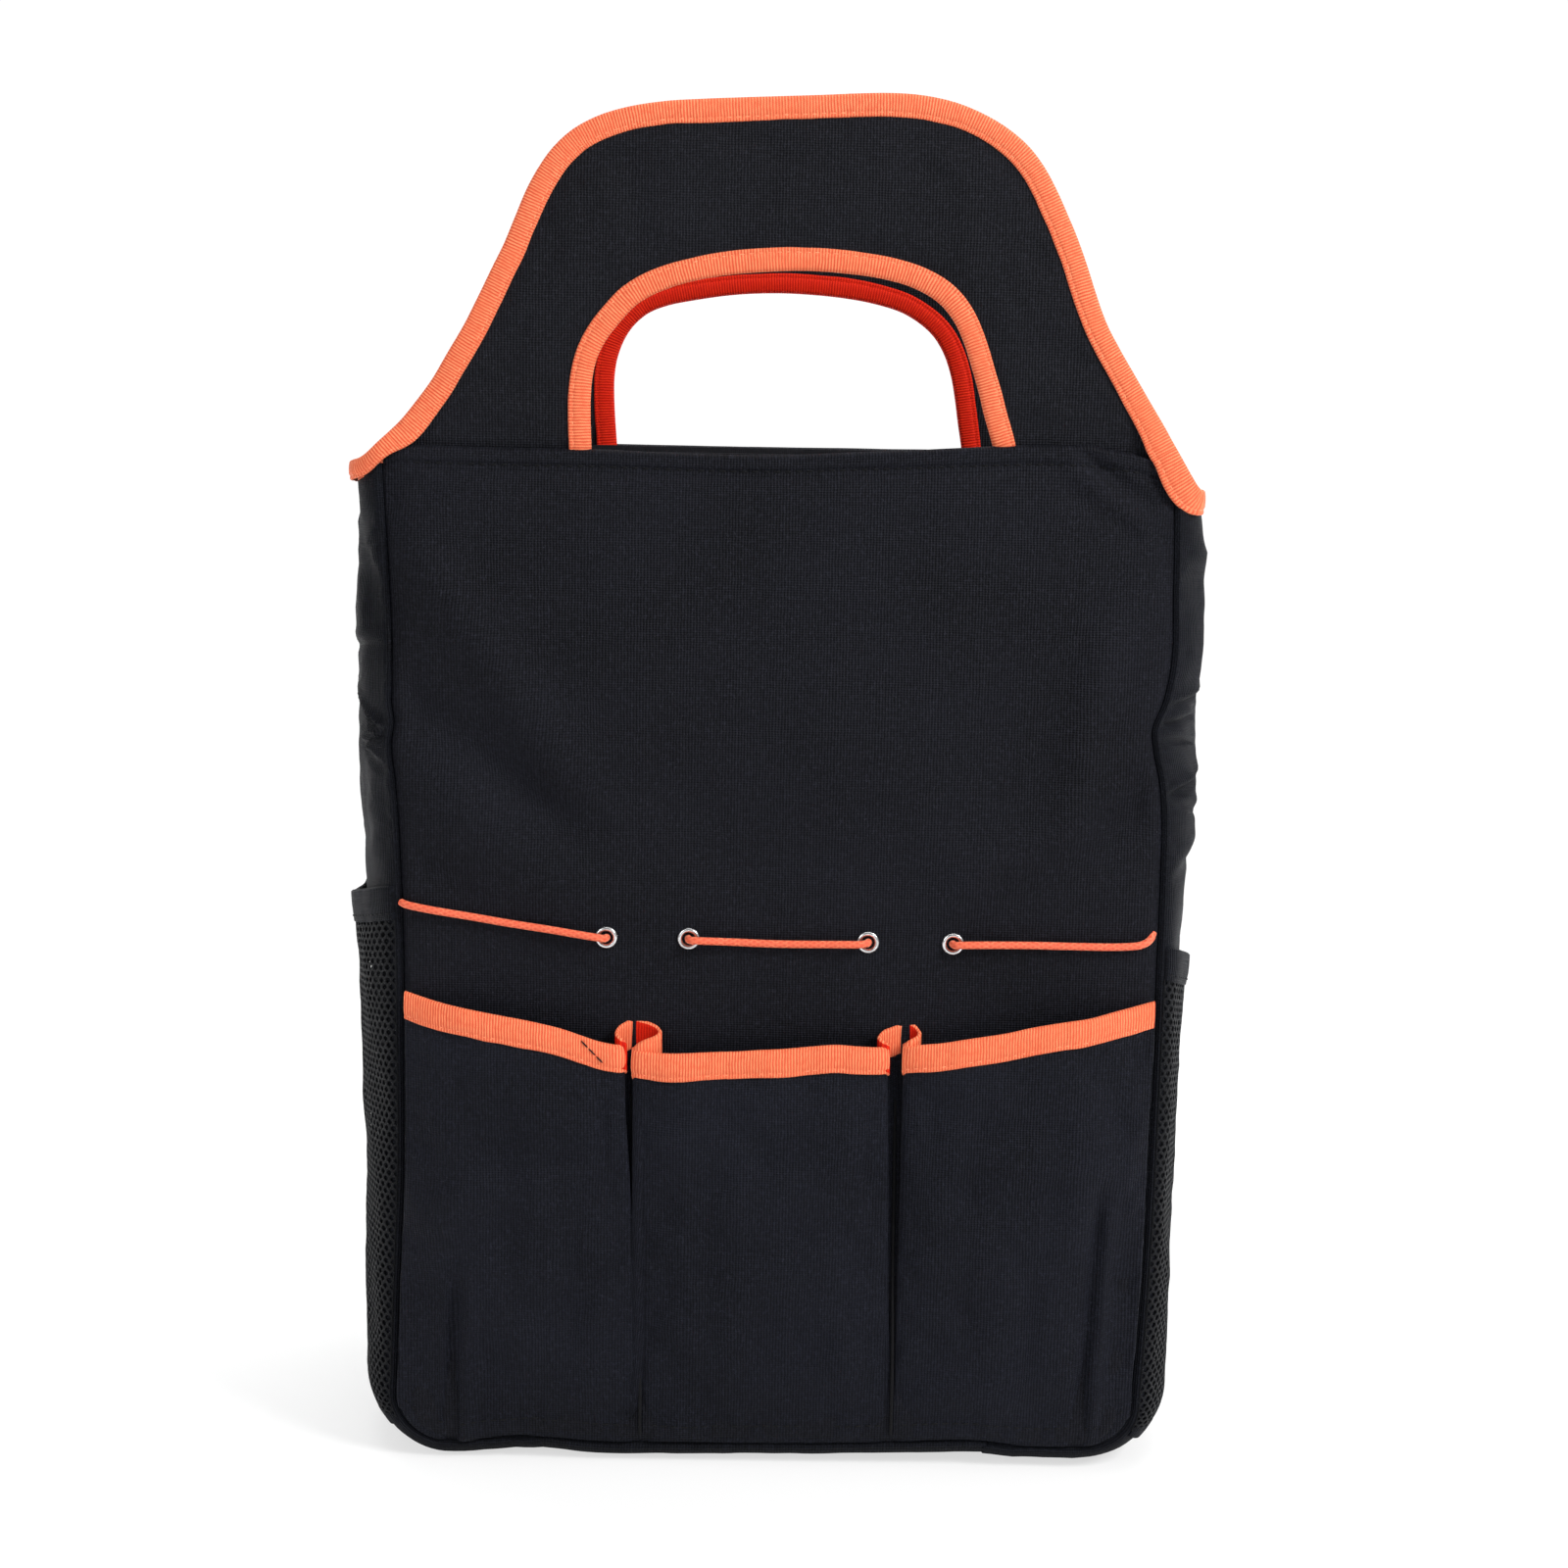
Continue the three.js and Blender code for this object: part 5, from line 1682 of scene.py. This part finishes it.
# ------------------------------------------------------------------ pleats between the pockets
def pleat_half(points, half):
    """Edging and cloth of half a box pleat, folded back from a pocket to the divider seam.

    Half a ends at the seam and half b starts there.
    """
    fold_line = spline(points, 0.7)
    wall_y = -HALF_DEPTH - 1.0
    t = tangents(fold_line)
    s = arc(fold_line)
    side = unit(np.stack([-t[:, 1], t[:, 0], 0 * s], -1))
    wobble = 0.25 * value_noise(s, 0 * s, 3.0, 510)[:, None] * side
    grid = np.array([
        fold_line - np.array(UP) * h + wobble * (1 - h / 12) for h in np.linspace(0, 10.6, 10)
    ])
    tape = sheet_part(grid, 1.5, lip=0.6)
    # painted shade: the face turned into the fold takes the darker tape
    face = (grid.shape[0] - 1) * (grid.shape[1] - 1)
    mats = np.zeros(len(tape.quads), int)
    if half == "a":
        mats[face:2 * face] = 1
    else:
        mats[:face] = 1
    seam_x = fold_line[-1, 0] if half == "a" else fold_line[0, 0]
    rows = []
    for h in np.concatenate([np.linspace(8.5, 40, 12), np.linspace(48, 150, 16)]):
        f = np.clip(1 - (h - 8) / 150.0, 0.06, 1) ** 0.8
        row = fold_line.copy()
        row[:, 0] = seam_x + (fold_line[:, 0] - seam_x) * (0.3 + 0.7 * f)
        row[:, 1] = wall_y + (fold_line[:, 1] - wall_y) * f
        row[:, 2] = fold_line[:, 2] - h
        rows.append(row)
    return tape._replace(mats=mats), sheet_part(np.array(rows), 0.7)


def pleat(side, left_pocket, right_pocket, a, b):
    """A box pleat; a and b are the fold lines of its halves as x, y, z, left to right."""
    left_end = POCKET_FACES[left_pocket][-1][-1]
    right_end = POCKET_FACES[right_pocket][-1][0]
    a = [left_end + (-0.1, 0.9, 0.4)] + a
    b = b + [right_end + (0.1, 0.9, 0.4)]
    for half, points, target in (("a", a, left_pocket), ("b", b, right_pocket)):
        tape, cloth = pleat_half(points, half)
        tape = piece(
            f"pleat_{side}_tape_{half}", [tape], [TAPE, SHADED_TAPE], "edging_orange",
            f"pleat_binding_{side}", body=None,
        )
        cloth = piece(
            f"pleat_{side}_cloth_{half}", [cloth], [POCKET_CLOTH], "pocket_cloth",
            f"pocket_pleat_{side}", body=None,
        )
        for ob in (tape, cloth):
            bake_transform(ob)


pleat(
    "left", "left", "center",
    a=[
        (-56.0, -82.8, 172.4), (-57.4, -81.4, 174.2), (-57.3, -79.8, 175.8),
        (-55.8, -78.4, 177.0), (-52.6, -76.8, 178.4),
    ],
    b=[
        (-52.0, -76.8, 178.6), (-47.0, -77.8, 177.6), (-43.4, -79.0, 176.2),
        (-42.6, -80.2, 175.0), (-43.6, -81.4, 173.8), (-48.6, -83.0, 171.9),
    ],
)
pleat(
    "right", "center", "right",
    a=[
        (43.0, -82.8, 173.2), (41.5, -81.2, 174.8), (42.8, -79.8, 176.4), (46.8, -78.2, 177.8),
        (50.4, -76.8, 179.0),
    ],
    b=[
        (50.9, -76.8, 179.4), (53.6, -77.8, 178.6), (55.2, -79.6, 176.8), (54.6, -81.2, 175.4),
        (52.6, -82.8, 174.4),
    ],
)

# ------------------------------------------------------------------ side net pockets
# each net's top edge: height at its ends and how far its middle hangs below them
NET_TOP = {-1: (228.0, 15.0), 1: (210.0, 17.0)}
NET_GAPE = {-1: 5.4, 1: 4.8}
NET_FOOT = -17.0  # lower end of the net, along the outline below the corner's start
NET_HEM = 12.5
CELL_WIDTH, CELL_PITCH = 4.3, 2.55
PORE = 0.66  # share of a cell left open

# length along a side's outline against y, so that cells stay even where the side turns
OUTLINE_Y = np.linspace(-74.95, 74.95, 1201)
OUTLINE_S = np.concatenate([
    [0], np.cumsum(np.hypot(np.diff(OUTLINE_Y), np.diff(side_bulge(OUTLINE_Y)))),
])
OUTLINE_S -= OUTLINE_S[600]
NET_HALF = float(OUTLINE_S[-1])


def net_top(mirror, y):
    ends, hang = NET_TOP[mirror]
    return ends - hang * (1 - (np.abs(y) / 75.0).clip(0, 1) ** 1.5)


def net_x(mirror, y, z):
    f = np.clip((z - 16) / (net_top(mirror, y) - 16), 0, 1)
    gape = (1 - (np.abs(y) / 74.0) ** 2.0).clip(0) * f**1.2
    waves = 0.6 * fractal(y, z * 0.6, 26, 610 + mirror) * smooth((74 - np.abs(y)) / 12)
    return side_surface(mirror, y, z) + 1.0 + NET_GAPE[mirror] * gape + waves


def net_point(mirror, s, v):
    """Point on a net: s runs along the side's outline, v is height above the corner's start,
    negative round the corner."""
    s, v = np.broadcast_arrays(np.asarray(s, float), np.asarray(v, float))
    y = np.interp(s, OUTLINE_S, OUTLINE_Y)
    # v is laid out for the ends; the middle hangs lower
    full = NET_TOP[mirror][0] - CORNER_Z
    v = np.where(v > 0, v * (net_top(mirror, y) - CORNER_Z) / full, v)
    z = CORNER_Z + np.maximum(v, 0)
    x = net_x(mirror, y, z)
    a = np.clip(-v / (CORNER_R + 14), 0, 0.9)
    w = smooth(a / (np.pi / 2))
    straight = net_x(mirror, y, np.full_like(z, CORNER_Z)) - SEAM_X
    out = straight * (1 - w) + (base_bulge(y) + 1.0) * w
    corner_x = CORNER_X + CORNER_R * np.cos(a) + np.cos(a) * out
    corner_z = CORNER_Z - CORNER_R * np.sin(a) - np.sin(a) * out
    x = np.where(v < 0, corner_x, x)
    z = np.where(v < 0, corner_z, z)
    return np.stack([mirror * x, y, z], -1)


def lace(s0, s1, v0, v1):
    """Brick-laid hexagon cells, each a ring of quads round an open pore: plan points, quads."""
    cols = int(round((s1 - s0) / CELL_WIDTH))
    width = (s1 - s0) / cols
    rows = int(round((v1 - v0) / CELL_PITCH))
    pitch = (v1 - v0) / rows
    low = pitch * 0.24
    high = pitch - low
    points, quads, index = [], [], {}

    def point_at(s, v):
        key = (round(s, 3), round(v, 3))
        if key not in index:
            index[key] = len(points)
            points.append((s, v))
        return index[key]

    for r in range(rows):
        cv = v0 + (r + 0.5) * pitch
        shift = 0.5 * width if r % 2 else 0.0
        for c in range(-1, cols + 1):
            cs = s0 + shift + (c + 0.5) * width
            ring = [
                (cs, cv + high), (cs + width / 2, cv + low), (cs + width / 2, cv - low),
                (cs, cv - high), (cs - width / 2, cv - low), (cs - width / 2, cv + low),
            ]
            ring = [(min(max(s, s0), s1), min(max(v, v0), v1)) for s, v in ring]
            if max(s for s, _ in ring) - min(s for s, _ in ring) < width * 0.3:
                continue
            outer = [point_at(*corner) for corner in ring]
            ms = sum(s for s, _ in ring) / 6
            mv = sum(v for _, v in ring) / 6
            inner = [point_at(ms + (s - ms) * PORE, mv + (v - mv) * PORE) for s, v in ring]
            for i in range(6):
                j = (i + 1) % 6
                if outer[i] != outer[j]:
                    quads.append((outer[i], outer[j], inner[j], inner[i]))
    return np.array(points), np.array(quads)


def net_part(mirror, s0, s1, v0, v1):
    """The lace laid on the side and given thickness."""
    thick, step = 0.55, 0.3
    plan, quads = lace(s0, s1, v0, v1)
    s, v = plan.T
    outer = net_point(mirror, s, v)
    ds = net_point(mirror, s + step, v) - net_point(mirror, s - step, v)
    dv = net_point(mirror, s, v + step) - net_point(mirror, s, v - step)
    normal = unit(np.cross(ds, dv))
    normal *= np.where(normal[:, :1] * mirror < 0, -1, 1)
    count = len(plan)
    # border edges of the plan get side walls
    edges = np.concatenate([quads[:, pair] for pair in ([0, 1], [1, 2], [2, 3], [3, 0])])
    _, inverse, uses = np.unique(
        np.sort(edges, 1), axis=0, return_inverse=True, return_counts=True
    )
    rim = edges[uses[inverse.reshape(-1)] == 1]
    walls = np.stack([rim[:, 0], rim[:, 1], rim[:, 1] + count, rim[:, 0] + count], -1)
    return Part(
        verts=np.vstack([outer, outer - normal * thick]),
        quads=np.vstack([quads, quads[:, ::-1] + count, walls]),
        uvs=np.vstack([plan, plan]),
    )


def net_pocket(mirror):
    """A side's net and hem in a front and a back half, and the strip along its foot."""
    hand = HAND_NAME[mirror]
    top = NET_TOP[mirror][0] - CORNER_Z
    for sign, s0, s1 in ((-1, -NET_HALF, 0.0), (1, 0.0, NET_HALF)):
        half = SIDE_NAME[sign]
        net = net_part(mirror, s0, s1, NET_FOOT, top - NET_HEM + 0.6)
        net = piece(
            f"mesh_{hand}_{half}", [net], [NET], "mesh_cloth", f"mesh_pocket_{hand}", body=None,
        )
        heights = np.linspace(top - NET_HEM, top, 12)
        s, v = np.meshgrid(np.linspace(s0, s1, 48), heights)
        grid = net_point(mirror, s, v)
        grid[..., 0] += mirror * (0.5 + 0.25 * np.sin(np.pi * (v - heights[0]) / NET_HEM))
        parts = [
            sheet_part(grid, 1.5, np.stack([s, v], -1), toward=(mirror, 0, 0)),
            stitch_part(grid[2], (mirror, 0, 0), UP, radius=0.26, lift=0.1),
        ]
        hem = piece(
            f"mesh_hem_{hand}_{half}", parts, [SIDE_CLOTH_SHADED, BLACK_THREAD], "oxford_black",
            f"mesh_hem_{hand}", body=None,
        )
        for ob in (net, hem):
            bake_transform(ob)
    s, v = np.meshgrid(
        np.linspace(-NET_HALF + 1.0, NET_HALF - 1.0, 80),
        np.linspace(NET_FOOT - 3.0, NET_FOOT + 3.5, 6),
    )
    grid = net_point(mirror, s, v)
    grid[..., 0] += mirror * 0.2
    strip = sheet_part(grid, 0.9, np.stack([s, v], -1), toward=(mirror, 0, -0.5))
    piece(f"mesh_foot_{hand}", [strip], [SIDE_CLOTH_SHADED], "mesh_cloth")


net_pocket(-1)
net_pocket(1)

# ------------------------------------------------------------------ stage, lights and camera
# area lights, in metres: name, place, target, width and height, power
LIGHTS = [
    ("key", (1.38, -0.95, 1.42), (0, 0, 0.28), (0.6, 0.7), 40),
    ("fill", (-1.25, -1.2, 1.0), (0, 0, 0.28), (0.9, 1.0), 9),
    ("top", (0, 0.1, 2.0), (0, 0, 0.2), (1.6, 1.2), 15),
    ("rim_left", (-1.2, 0.9, 0.8), (0, 0, 0.3), (0.8, 1.4), 0.7),
    ("rim_right", (1.2, 0.9, 0.8), (0, 0, 0.3), (0.8, 1.4), 0.7),
    ("backdrop", (0, 0.8, 1.6), (0, 2.4, 0.4), (2.4, 1.2), 60),
]
CAMERA_PLACE = (0.0030, -0.943, 0.4077)  # metres
CAMERA_TILT = 81.0  # degrees up from looking straight down
CAMERA_ROLL = 1.1  # degrees


def floor_material():
    """Pale floor that glows white to the camera, more so farther out."""
    material, s = new_material("pale_floor")
    mottle = s.noise(s.place(), scale=3.0)
    s.surface({
        "Base Color": s.mix(mottle, (0.90, 0.90, 0.90), (0.94, 0.94, 0.94)),
        "Roughness": 0.9,
        "Specular IOR Level": 0.1,
    })
    distance = s.node("VectorMath", {0: s.place()}, operation="LENGTH").outputs["Value"]
    far = s.ramp(distance, low=0.35, high=0.8)
    glow = s.node("Emission", {"Color": (1, 1, 1), "Strength": 1.05})
    seen = s.node("LightPath").outputs["Is Camera Ray"]
    veil = s.linear(far, gain=0.38, offset=0.62, clamp=True)
    base = s.tree.nodes["Principled BSDF"].outputs[0]
    shaders = {0: s.multiply(veil, seen), 1: base, 2: glow.outputs[0]}
    mixer = s.node("MixShader", shaders)
    s.feed(s.tree.nodes["Material Output"], {0: mixer.outputs[0]})
    return material


def studio_floor():
    """Floor and backdrop, one swept sheet."""
    front_y, bend_y, bend_radius, top_z = -2600, 1500, 900, 4200
    profile = [(front_y, 0.0), (bend_y, 0.0)]
    for a in np.linspace(0, np.pi / 2, 14)[1:]:
        y = bend_y + bend_radius * math.sin(a)
        profile.append((y, bend_radius - bend_radius * math.cos(a)))
    profile.append((bend_y + bend_radius, top_z))
    xs = np.linspace(-5200, 5200, 5)
    verts = np.array([(x, y, z) for y, z in profile for x in xs])
    index = np.arange(len(verts)).reshape(len(profile), len(xs))
    # wound the other way, so that the sheet faces up
    ob = build("studio_floor", Part(verts, grid_quads(index)[:, [0, 3, 2, 1]]))
    ob.data.materials.append(floor_material())


def studio_world():
    """White surroundings, brighter to the camera than as light."""
    world = bpy.data.worlds.new("studio")
    bpy.context.scene.world = world
    world.use_nodes = True
    s = Shader(world.node_tree)
    seen = s.node("LightPath").outputs["Is Camera Ray"]
    strength = s.linear(seen, gain=0.77, offset=0.28)
    s.feed(world.node_tree.nodes["Background"], {0: (1, 1, 1), 1: strength})


def area_light(name, place, target, size, power):
    light = bpy.data.lights.new(name, "AREA")
    light.shape = "RECTANGLE"
    light.size, light.size_y = size
    light.energy = power
    ob = bpy.data.objects.new(name, light)
    bpy.context.scene.collection.objects.link(ob)
    ob.location = place
    ob.rotation_euler = (Vector(target) - Vector(place)).to_track_quat("-Z", "Y").to_euler()


def studio_camera():
    camera = bpy.data.cameras.new("camera")
    camera.lens = 54.0
    camera.sensor_width = 36.0
    camera.clip_start = 0.05
    camera.clip_end = 30
    ob = bpy.data.objects.new("camera", camera)
    bpy.context.scene.collection.objects.link(ob)
    ob.matrix_world = (
        Matrix.Translation(CAMERA_PLACE)
        @ Matrix.Rotation(math.radians(CAMERA_TILT), 4, "X")
        @ Matrix.Rotation(math.radians(CAMERA_ROLL), 4, "Z")
    )
    bpy.context.scene.camera = ob
    bpy.context.scene.view_settings.view_transform = "Standard"


studio_floor()
studio_world()
for row in LIGHTS:
    area_light(*row)
studio_camera()
